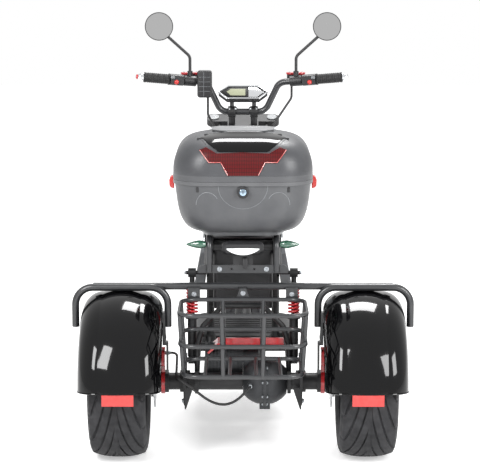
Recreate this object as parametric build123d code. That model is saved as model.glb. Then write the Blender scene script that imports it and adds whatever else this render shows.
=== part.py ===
"""Electric trike: two fat rear wheels under gloss fenders, a tube basket, a lidded top box and high bars.

Millimetres, +Z up, +Y forward, +X to the rider's right. Parts are modelled with the rear axle line at y = 0
and the ground at z = 0, then moved so that the origin lies on the ground under the middle of the length.
"""

import os
from math import cos, radians, sin, sqrt

from build123d import *

# General fits
SEAT_GAP = 0.2  # gap between fixed pieces that bear on each other
RUN_GAP = 0.3  # radial gap of a turning shaft in its bore
SWING_GAP = 5.0  # least room round a piece that turns

# Wheels
TYRE_RADIUS = 228.0
REAR_TYRE_WIDTH = 172.0
FRONT_TYRE_WIDTH = 136.0
TYRE_WALL = 10.0
BEAD_RADIUS = 127.0
RIM_FLANGE = 9.0
RIM_WALL = 5.0
RIM_INSET = 20.0  # how far the tyre bulges past the rim on each side
SPOKES = 5
SPOKE_DISC = 18.0
HUB_RADIUS = 30.0
STUB_RADIUS = 15.0
WHEELBASE = 1300.0
AXLE_Z = TYRE_RADIUS

# Brakes
DISC_RADIUS = 80.0
DISC_THICKNESS = 4.0
DISC_HOLES = 12
REAR_DISC_X = 266.0
REAR_TYRE_X = REAR_DISC_X + 106.0
FRONT_DISC_X = -62.0

# Rear axle and drive
AXLE_TUBE_RADIUS = 26.0
HUB_FLANGE = HUB_RADIUS + 18.0
BEARING_WIDTH = 16.0
AXLE_TUBE_HALF = REAR_DISC_X - DISC_THICKNESS / 2 - 24.0
GEAR_CASE_X = (0.0, 132.0)
GEAR_CASE_RADIUS = 68.0
GEAR_CASE_FLAT = 22.0  # half width of the housing's full radius
HOSE_PORT = (22.0, -60.0)  # where the brake hose meets the case
MOTOR_RADIUS = 66.0
MOTOR_Y = 96.0
MOTOR_Z = 262.0
MOTOR_LENGTH = 116.0
MOTOR_FINS = 9

# Fenders, guard rail and basket
FENDER_X = REAR_TYRE_X - 10.0
FENDER_WIDTH = 242.0
FENDER_RADIUS = 281.0
FENDER_CORNER = 62.0
FENDER_CROWN = 8.0
FENDER_SKIRT = 88.0
FENDER_WALL = 4.0
FENDER_FRONT_ANGLE = 28.0
FENDER_REAR_ANGLE = 175.0
GUARD_TUBE = 11.0
GUARD_BEND = 52.0
GUARD_INNER_X = FENDER_X - FENDER_WIDTH / 2 - 5 - GUARD_TUBE
GUARD_OUTER_X = FENDER_X + FENDER_WIDTH / 2 + 8.0 + GUARD_TUBE
GUARD_FOOT_Z = 401.0
GUARD_Z = AXLE_Z + FENDER_RADIUS + GUARD_TUBE + SEAT_GAP
BASKET_TUBE = 6.5
BASKET_HALF = 183.0
BASKET_FLOOR_HALF = 172.0
BASKET_FRONT_Y = -48.0
BASKET_REAR_Y = -300.0
BASKET_TOP_Z = 488.0
BASKET_MID_Z = 398.0
BASKET_FLOOR_Z = 308.0
BASKET_BEND = 45.0

# Steering head and fork
RAKE = 26.0
FORK_OFFSET = 40.0
FORK_LEG_X = 100.0
SLIDER_TOP = 372.0
STANCHION_RADIUS = 16.5
SLIDER_RADIUS = 21.0
FRONT_AXLE_RADIUS = 8.0
HEAD_LOW = 590.0
HEAD_HIGH = 770.0
HEAD_TUBE_RADIUS = 31.0
STEM_RADIUS = 15.0
CLAMP_THICK = 24.0
LAMP_ALONG = HEAD_LOW + 70
LAMP_FORWARD = FORK_OFFSET + 96
LAMP_BORE = 72.0
BAR_RADIUS = 11.0
CLAMP_X = 38.0
BAR_HEIGHT = 72.0  # bar centre above the underside of the upper clamp

# Handlebar route, right half: how far out, how far back from the clamp and how high above it
BAR_ROUTE = [
    # out, back, up
    (0.0, 0.0, 0.0),
    (76.0, 0.0, 0.0),
    (124.0, 16.0, 102.0),
    (338.0, 56.0, 122.0),
]
BAR_BEND = 38.0
GRIP_LENGTH = 94.0
GRIP_RADIUS = 17.0

# Frame, seat and top box
RAIL_X = 105.0
RAIL_RADIUS = 12.5
DOWN_TUBE_RADIUS = 27.0
DECK_Z = 262.0
DECK_THICK = 26.0
DECK_HALF = 160.0
DECK_RIBS = 9
DECK_REAR_Y = 470.0
DECK_FRONT_Y = WHEELBASE - 420.0
SEAT_RAIL_Z = 628.0
BATTERY_LOW = (-92.0, 140.0, 428.0)
BATTERY_HIGH = (92.0, 372.0, 606.0)
SEAT_REAR_Y = 285.0
SEAT_FRONT_Y = WHEELBASE - 535.0
SEAT_HALF = 135.0
SEAT_THICK = 84.0
SEAT_ROUND = 24.0
TAIL_Z = 576.0
PLATE_HALF = 135.0
PLATE_RISE = 12.0
PLATE_THICK = 5.0
TAIL_FACE = -RAIL_RADIUS - 6.0  # back of the rail ends, where the tail plate bears
PLATE_HOLE_RADIUS = 3.5
PLATE_HOLE_SPACING = 68.0
POST_X = 101.0
POST_RADIUS = 9.5
BOX_CENTRE_Y = 62.0
BOX_FLOOR_Z = 692.0
BOX_BASE = 12.0
BOX_RIM_Z = 850.0
BOX_TOP_Z = 988.0
BOX_WIDTH = 408.0
BOX_DEPTH = 384.0
BOX_WALL = 4.0
BOX_SEAM = 0.6
HINGE_RADIUS = 6.0
TUB_KNUCKLE = (46.0, 66.0)
LID_KNUCKLE = (67.0, 87.0)
HINGE_Y = BOX_CENTRE_Y + BOX_DEPTH / 2 + 3 + HINGE_RADIUS - 2
HINGE_Z = BOX_RIM_Z + BOX_SEAM / 2
LATCH_WIDTH = 34.0
LATCH_HEIGHT = 40.0
LATCH_OUT = 18.0

# Overall length sets the shift from the rear axle to the origin
REAR_REACH = -BASKET_REAR_Y + BASKET_TUBE
FRONT_REACH = WHEELBASE + TYRE_RADIUS
REAR_AXLE_Y = (REAR_REACH - FRONT_REACH) / 2

# Steering axis: it leans back by the rake and passes behind the front axle by the fork offset
AXIS_UP = Vector(0, -sin(radians(RAKE)), cos(radians(RAKE)))
AXIS_FORWARD = Vector(0, cos(radians(RAKE)), sin(radians(RAKE)))
FRONT_AXLE = Vector(0, WHEELBASE, AXLE_Z)
AXIS_FOOT = FRONT_AXLE - AXIS_FORWARD * FORK_OFFSET


def on_axis(along, forward=0.0, right=0.0):
    """A point measured along the steering axis from its foot, forward of it and to the right."""
    return AXIS_FOOT + AXIS_UP * along + AXIS_FORWARD * forward + Vector(right, 0, 0)


def tube(points, radius, bend=None):
    """A round bar along straight runs that meet in arcs of one bend radius."""
    if len(points) == 2:
        path = Line(*points)
    else:
        path = FilletPolyline(*points, radius=bend)
    return sweep(Plane(origin=path @ 0, z_dir=path % 0) * Circle(radius), path=path)


def rod(start, end, radius):
    """A straight round bar between two points."""
    start, end = Vector(*start), Vector(*end)
    along = end - start
    return Solid.make_cylinder(radius, along.length, Plane(origin=start, z_dir=along))


def block(low, high):
    """A box between two corners."""
    size = [h - l for l, h in zip(low, high)]
    middle = [(h + l) / 2 for l, h in zip(low, high)]
    return Pos(*middle) * Box(*size)


def mirror_x(shape):
    """The same piece on the other side of the vehicle."""
    return mirror(shape, about=Plane.YZ)


def both_sides(shape):
    """A left and right pair as separate solids."""
    return Compound(children=[*shape.solids(), *mirror_x(shape).solids()])


def ring(x_low, x_high, r_inner, r_outer):
    """An (x, radius) rectangle to be spun."""
    return Pos((x_low + x_high) / 2, (r_inner + r_outer) / 2) * Rectangle(x_high - x_low, r_outer - r_inner)


def dome(radius, edge, tip):
    """A spherical arc from (radius, edge) to (0, tip) for turning about the second axis."""
    rise = tip - edge
    centre = (tip * tip - edge * edge - radius * radius) / (2 * rise)
    ball = abs(tip - centre)
    way = Vector(radius, edge - centre).normalized() + Vector(0, 1 if rise > 0 else -1)
    middle = way.normalized() * ball + Vector(0, centre)
    return ThreePointArc((radius, edge), (middle.X, middle.Y), (0, tip))


# Wheels


def tyre(width):
    """A tubeless tyre as a hollow ring: bead, bulged side wall, round shoulder and a flat crown."""
    half = width / 2
    bead = half - RIM_INSET - RIM_FLANGE - SEAT_GAP
    foot = BEAD_RADIUS + SEAT_GAP
    lip = BEAD_RADIUS + RIM_FLANGE + 3
    height = TYRE_RADIUS - BEAD_RADIUS

    def outline(inset):
        wall, shoulder = BEAD_RADIUS + 0.52 * height, BEAD_RADIUS + 0.85 * height - inset
        left = [(-half + inset, wall), (-half + 10 + inset, shoulder)]
        right = [(half - inset, wall), (half - 10 - inset, shoulder)]
        top = TYRE_RADIUS - inset
        start, end = (-bead + inset, lip), (bead - inset, lip)
        return [
            Line((-bead + inset, foot), start),
            ThreePointArc(start, (-half + inset + 4, (lip + wall) / 2), left[0]),
            ThreePointArc(left[0], (-half + inset + 3, (wall + shoulder) / 2 + 3), left[1]),
            ThreePointArc(left[1], (-half * 0.6, top - 5), (-half * 0.3, top - 1)),
            ThreePointArc((-half * 0.3, top - 1), (0, top), (half * 0.3, top - 1)),
            ThreePointArc((half * 0.3, top - 1), (half * 0.6, top - 5), right[1]),
            ThreePointArc(right[1], (half - inset - 3, (wall + shoulder) / 2 + 3), right[0]),
            ThreePointArc(right[0], (half - inset - 4, (lip + wall) / 2), end),
            Line(end, (bead - inset, foot)),
            Line((bead - inset, foot), (-bead + inset, foot)),
        ]

    return revolve(make_face(outline(0)) - make_face(outline(TYRE_WALL)), axis=Axis.X)


def rim(width, hub_low, hub_high, bore, disc_x, capped):
    """A cast wheel: flanged barrel, a spoke disc with rounded windows, and a hub for the brake disc."""
    half = width / 2 - RIM_INSET
    barrel = ring(-half, half, BEAD_RADIUS - RIM_WALL, BEAD_RADIUS)
    for side in (-1, 1):
        edge = side * half
        inner = edge - side * RIM_FLANGE
        barrel += ring(min(edge, inner), max(edge, inner), BEAD_RADIUS - RIM_WALL, BEAD_RADIUS + RIM_FLANGE)
    face = half - 8 - SPOKE_DISC
    web = ring(face, face + SPOKE_DISC, bore, BEAD_RADIUS - 1)
    hub = ring(hub_low, hub_high, bore, HUB_RADIUS)
    flange = disc_x + DISC_THICKNESS / 2 + SEAT_GAP
    hub += ring(flange, flange + 8, bore, HUB_FLANGE)
    wheel = revolve(barrel + web + hub, axis=Axis.X)
    window = Circle(BEAD_RADIUS - RIM_WALL - 12) - Circle(HUB_RADIUS + 22)
    spread = radians(180 / SPOKES - 12)
    reach = BEAD_RADIUS / cos(spread)
    corner = (reach * cos(spread), reach * sin(spread))
    window &= make_face(Polyline((0, 0), corner, (corner[0], -corner[1]), close=True))
    window = fillet(window.vertices(), 9)
    plane = Plane(origin=(face - 1, 0, 0), x_dir=(0, 0, 1), z_dir=(1, 0, 0))
    for turn in range(SPOKES):
        cut = extrude(plane * (Rot(0, 0, turn * 360 / SPOKES) * window), SPOKE_DISC + 2)
        wheel -= cut
    if capped:
        wheel += Pos(hub_high, 0, 0) * revolve(ring(0, 6, 0, HUB_RADIUS), axis=Axis.X)
    return wheel


def brake_disc(centre_x):
    """A drilled steel disc."""
    half = DISC_THICKNESS / 2
    disc = revolve(ring(-half, half, HUB_RADIUS + SEAT_GAP, DISC_RADIUS), axis=Axis.X)
    plane = Plane(origin=(-DISC_THICKNESS, 0, 0), x_dir=(0, 0, 1), z_dir=(1, 0, 0))
    rows = [(DISC_RADIUS - 10, 0), (DISC_RADIUS - 22, 180 / DISC_HOLES)]
    holes = Sketch()
    for radius, start in rows:
        holes += PolarLocations(radius, DISC_HOLES, start_angle=start) * Circle(3.5)
    disc -= extrude(plane * holes, 2 * DISC_THICKNESS)
    return Pos(centre_x, 0, 0) * disc


REAR_WHEEL = Pos(REAR_TYRE_X, 0, AXLE_Z)
FRONT_WHEEL = Pos(*FRONT_AXLE)
REAR_HUB_LOW = REAR_DISC_X - DISC_THICKNESS / 2 - REAR_TYRE_X
REAR_HUB_HIGH = REAR_TYRE_WIDTH / 2 - RIM_INSET
FRONT_HUB_HALF = FORK_LEG_X - SLIDER_RADIUS - SWING_GAP


def rear_rim():
    return REAR_WHEEL * rim(
        REAR_TYRE_WIDTH, REAR_HUB_LOW, REAR_HUB_HIGH, STUB_RADIUS + RUN_GAP, REAR_DISC_X - REAR_TYRE_X, True
    )


def front_rim():
    return FRONT_WHEEL * rim(
        FRONT_TYRE_WIDTH, -FRONT_HUB_HALF, FRONT_HUB_HALF, FRONT_AXLE_RADIUS + RUN_GAP, FRONT_DISC_X, False
    )


# Rear axle


def rear_axle():
    """The axle tube with its bearing ends and the stub shafts that carry the wheels."""
    line = Pos(0, 0, AXLE_Z)
    stub_end = REAR_TYRE_X + REAR_HUB_HIGH - 2
    profile = ring(-AXLE_TUBE_HALF, AXLE_TUBE_HALF, 0, AXLE_TUBE_RADIUS)
    profile += ring(-stub_end, stub_end, 0, STUB_RADIUS)
    for side in (-1, 1):
        middle = side * (AXLE_TUBE_HALF - BEARING_WIDTH / 2)
        reach = BEARING_WIDTH / 2
        profile += ring(middle - reach, middle + reach, 0, AXLE_TUBE_RADIUS + 8)
    tube_solid = revolve(profile, axis=Axis.X)
    low, high = GEAR_CASE_X
    tube_solid -= revolve(ring(low, high, STUB_RADIUS, AXLE_TUBE_RADIUS + 20), axis=Axis.X)
    return line * tube_solid


def gear_case():
    """The differential case: a conical housing with a split flange, a hose port and a lobe for the motor."""
    low, high = (x + side * SEAT_GAP for x, side in zip(GEAR_CASE_X, (1, -1)))
    middle = (low + high) / 2
    end, radius, flat = AXLE_TUBE_RADIUS + 12, GEAR_CASE_RADIUS, GEAR_CASE_FLAT
    bulge = (end + radius) / 2 + 5
    outline = [
        Line((low, STUB_RADIUS + SEAT_GAP), (low, end)),
        ThreePointArc((low, end), ((low + middle - flat) / 2, bulge), (middle - flat, radius)),
        Line((middle - flat, radius), (middle + flat, radius)),
        ThreePointArc((middle + flat, radius), ((high + middle + flat) / 2, bulge), (high, end)),
        Line((high, end), (high, STUB_RADIUS + SEAT_GAP)),
        Line((high, STUB_RADIUS + SEAT_GAP), (low, STUB_RADIUS + SEAT_GAP)),
    ]
    case = revolve(make_face(outline), axis=Axis.X)
    case += revolve(ring(middle - 5, middle + 5, STUB_RADIUS + SEAT_GAP, radius + 7), axis=Axis.X)
    lobe = Pos(0, MOTOR_Y, MOTOR_Z - AXLE_Z)
    case += lobe * revolve(ring(low, low + 46, 0, MOTOR_RADIUS - 14), axis=Axis.X)
    case -= revolve(ring(low - 1, high + 1, 0, STUB_RADIUS + SEAT_GAP), axis=Axis.X)
    case += block((middle - 16, -14, -radius - 16), (middle + 16, 14, -radius + 6))
    port_x, port_y = HOSE_PORT
    case += rod((port_x, -STUB_RADIUS - 5, 0), (port_x, port_y, 0), 9)
    return Pos(0, 0, AXLE_Z) * case


def motor():
    """The drive motor: a finned can beside the gear case, ahead of the axle."""
    pitch = (MOTOR_LENGTH - 20) / MOTOR_FINS
    profile = ring(-MOTOR_LENGTH, 0, 0, MOTOR_RADIUS - 5)
    for fin in range(MOTOR_FINS + 1):
        start = -MOTOR_LENGTH + 8 + fin * pitch
        profile += ring(start, start + pitch * 0.45, 0, MOTOR_RADIUS)
    return Pos(GEAR_CASE_X[0], MOTOR_Y, MOTOR_Z) * revolve(profile, axis=Axis.X)


HANGER_X = BASKET_FLOOR_HALF + 3.0
HANGER_THICK = 8.0
SHOCK_X = 155.0
SHOCK_FOOT = (SHOCK_X, 62.0, 282.0)
SHOCK_HEAD = (SHOCK_X, 78.0, 548.0)
SPRING_LOW = 0.47  # where along the shock the spring starts
SPRING_HIGH = 0.84  # and ends
SPRING_COILS = 8
SPRING_BORE = 10.0
SPRING_ROOT = 15.0
SPRING_CREST = 19.0
SPRING_SEAT_RADIUS = 20.0
DAMPER_RADIUS = 14.0
PIVOT_Y = 430.0
PIVOT_Z = 282.0
PIVOT_RADIUS = 11.0
ARM_CROSS_Y = 300.0
ARCH_Y = 39.0
ARCH_TOP_Z = 452.0
ARCH_RADIUS = 8.0
ARCH_HALF = SHOCK_X - SPRING_CREST - ARCH_RADIUS - 6.0


def axle_hangers():
    """Tapered, flanged plates clamped on the axle: they hold the basket's floor and the shocks' feet."""
    rest = BASKET_FLOOR_Z - BASKET_TUBE - SEAT_GAP
    corner = BASKET_FRONT_Y - BASKET_BEND
    outline = Polyline(
        (corner - 20, rest),
        (corner - 20, rest - 16),
        (-66, rest - 40),
        (-66, AXLE_Z - 6),
        (-16, AXLE_Z - 72),
        (6, AXLE_Z - 72),
        (40, AXLE_Z - 14),
        (88, SHOCK_FOOT[2] - 16),
        (88, SHOCK_FOOT[2] + 14),
        (40, SHOCK_FOOT[2] + 14),
        (20, rest),
        close=True,
    )
    plane = Plane(origin=(HANGER_X - HANGER_THICK / 2, 0, 0), x_dir=(0, 1, 0), z_dir=(1, 0, 0))
    plate = extrude(plane * make_face(outline), HANGER_THICK)
    flange = Polyline(
        (HANGER_X, AXLE_Z - 6),
        (HANGER_X - 26, AXLE_Z - 6),
        (HANGER_X - 4, AXLE_Z - 72),
        (HANGER_X, AXLE_Z - 72),
        close=True,
    )
    flange_plane = Plane(origin=(0, -60, 0), x_dir=(1, 0, 0), z_dir=(0, -1, 0))
    plate += extrude(flange_plane * make_face(flange), 6)
    plate += block((HANGER_X - 4, -66, AXLE_Z - 72), (HANGER_X, 0, AXLE_Z - 60))
    plate -= rod((0, 0, AXLE_Z), (400, 0, AXLE_Z), AXLE_TUBE_RADIUS + SEAT_GAP)
    collar = Pos(HANGER_X, 0, AXLE_Z) * revolve(
        ring(-15, 15, AXLE_TUBE_RADIUS + SEAT_GAP, AXLE_TUBE_RADIUS + 7), axis=Axis.X
    )
    pin = rod((SHOCK_X - 17, *SHOCK_FOOT[1:]), (HANGER_X, *SHOCK_FOOT[1:]), 6)
    return both_sides(plate + collar + pin)


def swing_arm():
    """The trailing fork: two arms from the pivot to the axle, a cross tube and an arch over the motor."""
    arm_low, arm_thick = GEAR_CASE_X[1] + 2.0, 11.0
    outline = Polyline(
        (AXLE_TUBE_RADIUS + 14, AXLE_Z - 16),
        (PIVOT_Y, PIVOT_Z - 17),
        (PIVOT_Y, PIVOT_Z + 17),
        (AXLE_TUBE_RADIUS + 14, AXLE_Z + 20),
        (-20, AXLE_Z + 34),
        (-34, AXLE_Z),
        (-20, AXLE_Z - 34),
        close=True,
    )
    plane = Plane(origin=(arm_low, 0, 0), x_dir=(0, 1, 0), z_dir=(1, 0, 0))
    arm = extrude(plane * make_face(outline), arm_thick)
    arm += rod((arm_low, PIVOT_Y, PIVOT_Z), (arm_low + arm_thick, PIVOT_Y, PIVOT_Z), 20)
    arm -= rod((0, 0, AXLE_Z), (400, 0, AXLE_Z), AXLE_TUBE_RADIUS + SEAT_GAP)
    arm -= rod((0, PIVOT_Y, PIVOT_Z), (400, PIVOT_Y, PIVOT_Z), PIVOT_RADIUS + SEAT_GAP)
    cross_z = AXLE_Z + (PIVOT_Z - AXLE_Z) * ARM_CROSS_Y / PIVOT_Y + 4
    reach = arm_low + arm_thick / 2
    cross = rod((-reach, ARM_CROSS_Y, cross_z), (reach, ARM_CROSS_Y, cross_z), 14)
    leg = [
        (reach, ARCH_Y, AXLE_Z + 16),
        (reach, ARCH_Y, MOTOR_Z + MOTOR_RADIUS),
        (ARCH_HALF, ARCH_Y, ARCH_TOP_Z - 62),
        (0.5 * ARCH_HALF, ARCH_Y, ARCH_TOP_Z),
    ]
    far_leg = [(-x, y, z) for x, y, z in reversed(leg)]
    return arm + mirror_x(arm) + cross + tube(leg + far_leg, ARCH_RADIUS, 30)


def motor_saddle():
    """The red plate over the motor, folded down at its left end and bolted to the gear case lobe."""
    thick = 7.0
    low = MOTOR_Z + MOTOR_RADIUS + SEAT_GAP
    outline = Polyline(
        (-104, low - 26),
        (-74, low),
        (124, low),
        (124, low + thick),
        (-77, low + thick),
        (-109, low - 22),
        close=True,
    )
    front, rear = MOTOR_Y + 36, MOTOR_Y - 52
    plane = Plane(origin=(0, front, 0), x_dir=(1, 0, 0), z_dir=(0, -1, 0))
    plate = extrude(plane * make_face(outline), front - rear)
    lip = block((-60, rear, low + thick), (124, rear + 6, low + thick + 16))
    plate += lip
    return plate - rod((-200, MOTOR_Y, MOTOR_Z), (0, MOTOR_Y, MOTOR_Z), MOTOR_RADIUS + SEAT_GAP)


def shock_bodies():
    """Damper tubes with an eye at each end and the two spring seats."""
    foot, head = Vector(*SHOCK_FOOT), Vector(*SHOCK_HEAD)
    along = (head - foot).normalized()
    length = (head - foot).length
    body = rod(foot + along * 10, foot + along * length * (SPRING_LOW + 0.02), DAMPER_RADIUS)
    body += rod(foot + along * 60, head - along * 8, 8)
    for share, thick in ((SPRING_LOW, 7), (SPRING_HIGH, 9)):
        start = foot + along * length * share
        body += rod(start, start + along * thick, SPRING_SEAT_RADIUS)
    for eye in (foot, head):
        body += rod(eye - Vector(12, 0, 0), eye + Vector(12, 0, 0), 14)
    for eye in (foot, head):
        body -= rod(eye - Vector(40, 0, 0), eye + Vector(40, 0, 0), 6 + SEAT_GAP)
    return both_sides(body)


def shock_springs():
    """Red springs on the upper half of each damper: a sleeve with one round ridge for each coil."""
    foot, head = Vector(*SHOCK_FOOT), Vector(*SHOCK_HEAD)
    along = (head - foot).normalized()
    length = (head - foot).length
    start = length * SPRING_LOW + 7 + SEAT_GAP
    pitch = (length * (SPRING_HIGH - SPRING_LOW) - 7 - 2 * SEAT_GAP) / SPRING_COILS
    edges = [Line((SPRING_BORE, 0), (SPRING_ROOT, 0))]
    for coil in range(SPRING_COILS):
        low, high = coil * pitch, (coil + 1) * pitch
        crest = (SPRING_CREST, (low + high) / 2)
        edges.append(ThreePointArc((SPRING_ROOT, low), crest, (SPRING_ROOT, high)))
    top = SPRING_COILS * pitch
    edges.append(Line((SPRING_ROOT, top), (SPRING_BORE, top)))
    edges.append(Line((SPRING_BORE, top), (SPRING_BORE, 0)))
    sleeve = revolve(Plane.XZ * make_face(edges), axis=Axis.Z)
    return both_sides(Plane(origin=foot + along * start, z_dir=along) * sleeve)


# Fenders and guard rail


def fender_face(half, top, corner, foot):
    """An inverted U in (x, radius): straight skirts, round shoulders and a crowned top."""
    shoulder, skirt = top - FENDER_CROWN, top - FENDER_CROWN - corner
    bulge = corner * (1 - sqrt(0.5))
    return make_face(
        [
            Line((-half, foot), (-half, skirt)),
            ThreePointArc((-half, skirt), (-half + bulge, shoulder - bulge), (-half + corner, shoulder)),
            ThreePointArc((-half + corner, shoulder), (0, top), (half - corner, shoulder)),
            ThreePointArc((half - corner, shoulder), (half - bulge, shoulder - bulge), (half, skirt)),
            Line((half, skirt), (half, foot)),
            Line((half, foot), (-half, foot)),
        ]
    )


def fender():
    """A gloss shell that wraps the top and back of a rear tyre."""
    half, foot = FENDER_WIDTH / 2, FENDER_RADIUS - FENDER_SKIRT
    shell = fender_face(half, FENDER_RADIUS, FENDER_CORNER, foot)
    wall = FENDER_WALL
    shell -= fender_face(half - wall, FENDER_RADIUS - wall, FENDER_CORNER - wall, foot - 5)
    start = radians(FENDER_FRONT_ANGLE)
    plane = Plane(origin=(0, 0, 0), x_dir=(1, 0, 0), z_dir=(0, -sin(start), cos(start)))
    turned = revolve(plane * shell, axis=Axis.X, revolution_arc=FENDER_REAR_ANGLE - FENDER_FRONT_ANGLE)
    return Pos(FENDER_X, 0, AXLE_Z) * turned


def rear_guard():
    """The cross bar over both rear wheels with a hoop and stay at each fender and tabs for the basket."""
    bar_half = GUARD_OUTER_X - GUARD_BEND
    guard = rod((-bar_half, 0, GUARD_Z), (bar_half, 0, GUARD_Z), GUARD_TUBE)
    hoop_y = -2 * GUARD_TUBE + 1
    hoop = tube(
        [
            (GUARD_INNER_X, hoop_y, GUARD_FOOT_Z),
            (GUARD_INNER_X, hoop_y, GUARD_Z),
            (GUARD_OUTER_X, hoop_y, GUARD_Z),
            (GUARD_OUTER_X, hoop_y, GUARD_FOOT_Z),
        ],
        GUARD_TUBE,
        GUARD_BEND,
    )
    guard += hoop
    guard += mirror_x(hoop)
    outer = FENDER_X - FENDER_WIDTH / 2 - SEAT_GAP
    inner, skirt = outer - 5, AXLE_Z + FENDER_RADIUS - FENDER_SKIRT
    stay = block((inner - 3, -46, AXLE_Z + 120), (outer, hoop_y + 4, skirt + 26))
    stay += block((inner - 12, -46, AXLE_Z + 120), (outer, -20, AXLE_Z + 130))
    stay += block((inner - 12, -46, AXLE_Z + AXLE_TUBE_RADIUS + 8.5), (inner - 6, -20, AXLE_Z + 130))
    guard += stay
    guard += mirror_x(stay)
    foot = BASKET_TOP_Z + 4
    tab_y = BASKET_FRONT_Y + BASKET_TUBE + SEAT_GAP
    for x, top_half, foot_half in ((0, 10, 21), (-146, 18, 18), (146, 18, 18)):
        outline = Polyline(
            (x - foot_half, foot - 10),
            (x + foot_half, foot - 10),
            (x + top_half, GUARD_Z),
            (x - top_half, GUARD_Z),
            close=True,
        )
        plane = Plane(origin=(0, tab_y + 5, 0), x_dir=(1, 0, 0), z_dir=(0, -1, 0))
        guard += extrude(plane * make_face(outline), 5)
        guard += block((x - top_half, tab_y, GUARD_Z - 6), (x + top_half, 0, GUARD_Z))
    return guard


def rear_reflectors():
    """Plain red reflectors on a short bracket below each fender's back edge."""
    edge = radians(180 - FENDER_REAR_ANGLE)
    y = -(FENDER_RADIUS - FENDER_WALL - SEAT_GAP) * cos(edge)
    top = AXLE_Z + FENDER_RADIUS * sin(edge)
    plate = block((FENDER_X - 46, y + 1, top - 36), (FENDER_X + 46, y + 9, top - 3))
    plate += block((FENDER_X - 14, y + 4, top - 10), (FENDER_X + 14, y + 9, top + 22))
    return both_sides(plate)


def basket():
    """An open basket of welded tube: three round rails, posts on every side and a floor of bars."""
    levels = [
        # height, half width, front, rear
        (BASKET_TOP_Z, BASKET_HALF, BASKET_FRONT_Y, BASKET_REAR_Y),
        (BASKET_MID_Z, (BASKET_HALF + BASKET_FLOOR_HALF) / 2 + 3, BASKET_FRONT_Y, BASKET_REAR_Y),
        (BASKET_FLOOR_Z, BASKET_FLOOR_HALF, BASKET_FRONT_Y, BASKET_REAR_Y + 8),
    ]
    cage = None
    for z, half, front, rear in levels:
        middle = (front + rear) / 2
        loop = Pos(0, middle, z) * RectangleRounded(2 * half, front - rear, BASKET_BEND)
        wire = loop.faces()[0].outer_wire()
        ring_tube = sweep(Plane(origin=wire @ 0, z_dir=wire % 0) * Circle(BASKET_TUBE), path=wire)
        cage = ring_tube if cage is None else cage + ring_tube
    floor_x = [-109, -38, 38, 109]
    for x in floor_x:
        cage += rod((x, levels[2][3], BASKET_FLOOR_Z), (x, levels[2][2], BASKET_FLOOR_Z), BASKET_TUBE - 1)
    for share in (-0.33, 0.33):
        top, low = levels[0], levels[2]
        for edge in (2, 3):
            head, foot = (share * top[1], top[edge], top[0]), (share * low[1], low[edge], low[0])
            cage += rod(head, foot, BASKET_TUBE)
    for side in (-1, 1):
        for along in (0.22, 0.78):
            ends = []
            for z, half, front, rear in (levels[0], levels[2]):
                ends.append((side * half, front + (rear - front) * along, z))
            cage += rod(*ends, BASKET_TUBE)
    return cage


def calipers():
    """Red rear calipers astride the brake discs, each on a carrier clamped to the axle tube."""
    slot = DISC_THICKNESS / 2 + SWING_GAP
    low_x, high_x = REAR_DISC_X - slot - 24, REAR_DISC_X + slot + 14
    body = block((low_x, -36, AXLE_Z + HUB_FLANGE + SWING_GAP), (high_x, 24, AXLE_Z + DISC_RADIUS + 22))
    body = fillet(body.edges().filter_by(Axis.X), 8)
    reach = AXLE_Z + DISC_RADIUS + SWING_GAP
    body -= block((REAR_DISC_X - slot, -60, AXLE_Z), (REAR_DISC_X + slot, 60, reach))
    carrier_x = low_x + 12
    carrier = block((low_x, -20, AXLE_Z + 30), (carrier_x, 14, AXLE_Z + 60))
    clasp = ring(0, 12, AXLE_TUBE_RADIUS + SEAT_GAP, AXLE_TUBE_RADIUS + 12)
    carrier += Pos(low_x, 0, AXLE_Z) * revolve(clasp, axis=Axis.X)
    carrier -= rod((0, 0, AXLE_Z), (400, 0, AXLE_Z), AXLE_TUBE_RADIUS + SEAT_GAP)
    carrier -= rod((AXLE_TUBE_HALF - 17, 0, AXLE_Z), (400, 0, AXLE_Z), AXLE_TUBE_RADIUS + 8 + SEAT_GAP)
    return both_sides(body + carrier)


# Frame


def down_tube(radius):
    """The bent tube from the steering head down to the deck rails."""
    joint = on_axis((HEAD_LOW + HEAD_HIGH) / 2)
    rail_z = DECK_Z - RAIL_RADIUS
    route = [
        joint,
        (0, joint.Y - 70, joint.Z - 90),
        (0, DECK_FRONT_Y - 10, rail_z + 60),
        (0, DECK_FRONT_Y - 100, rail_z),
    ]
    return tube(route, radius, 80)


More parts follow.
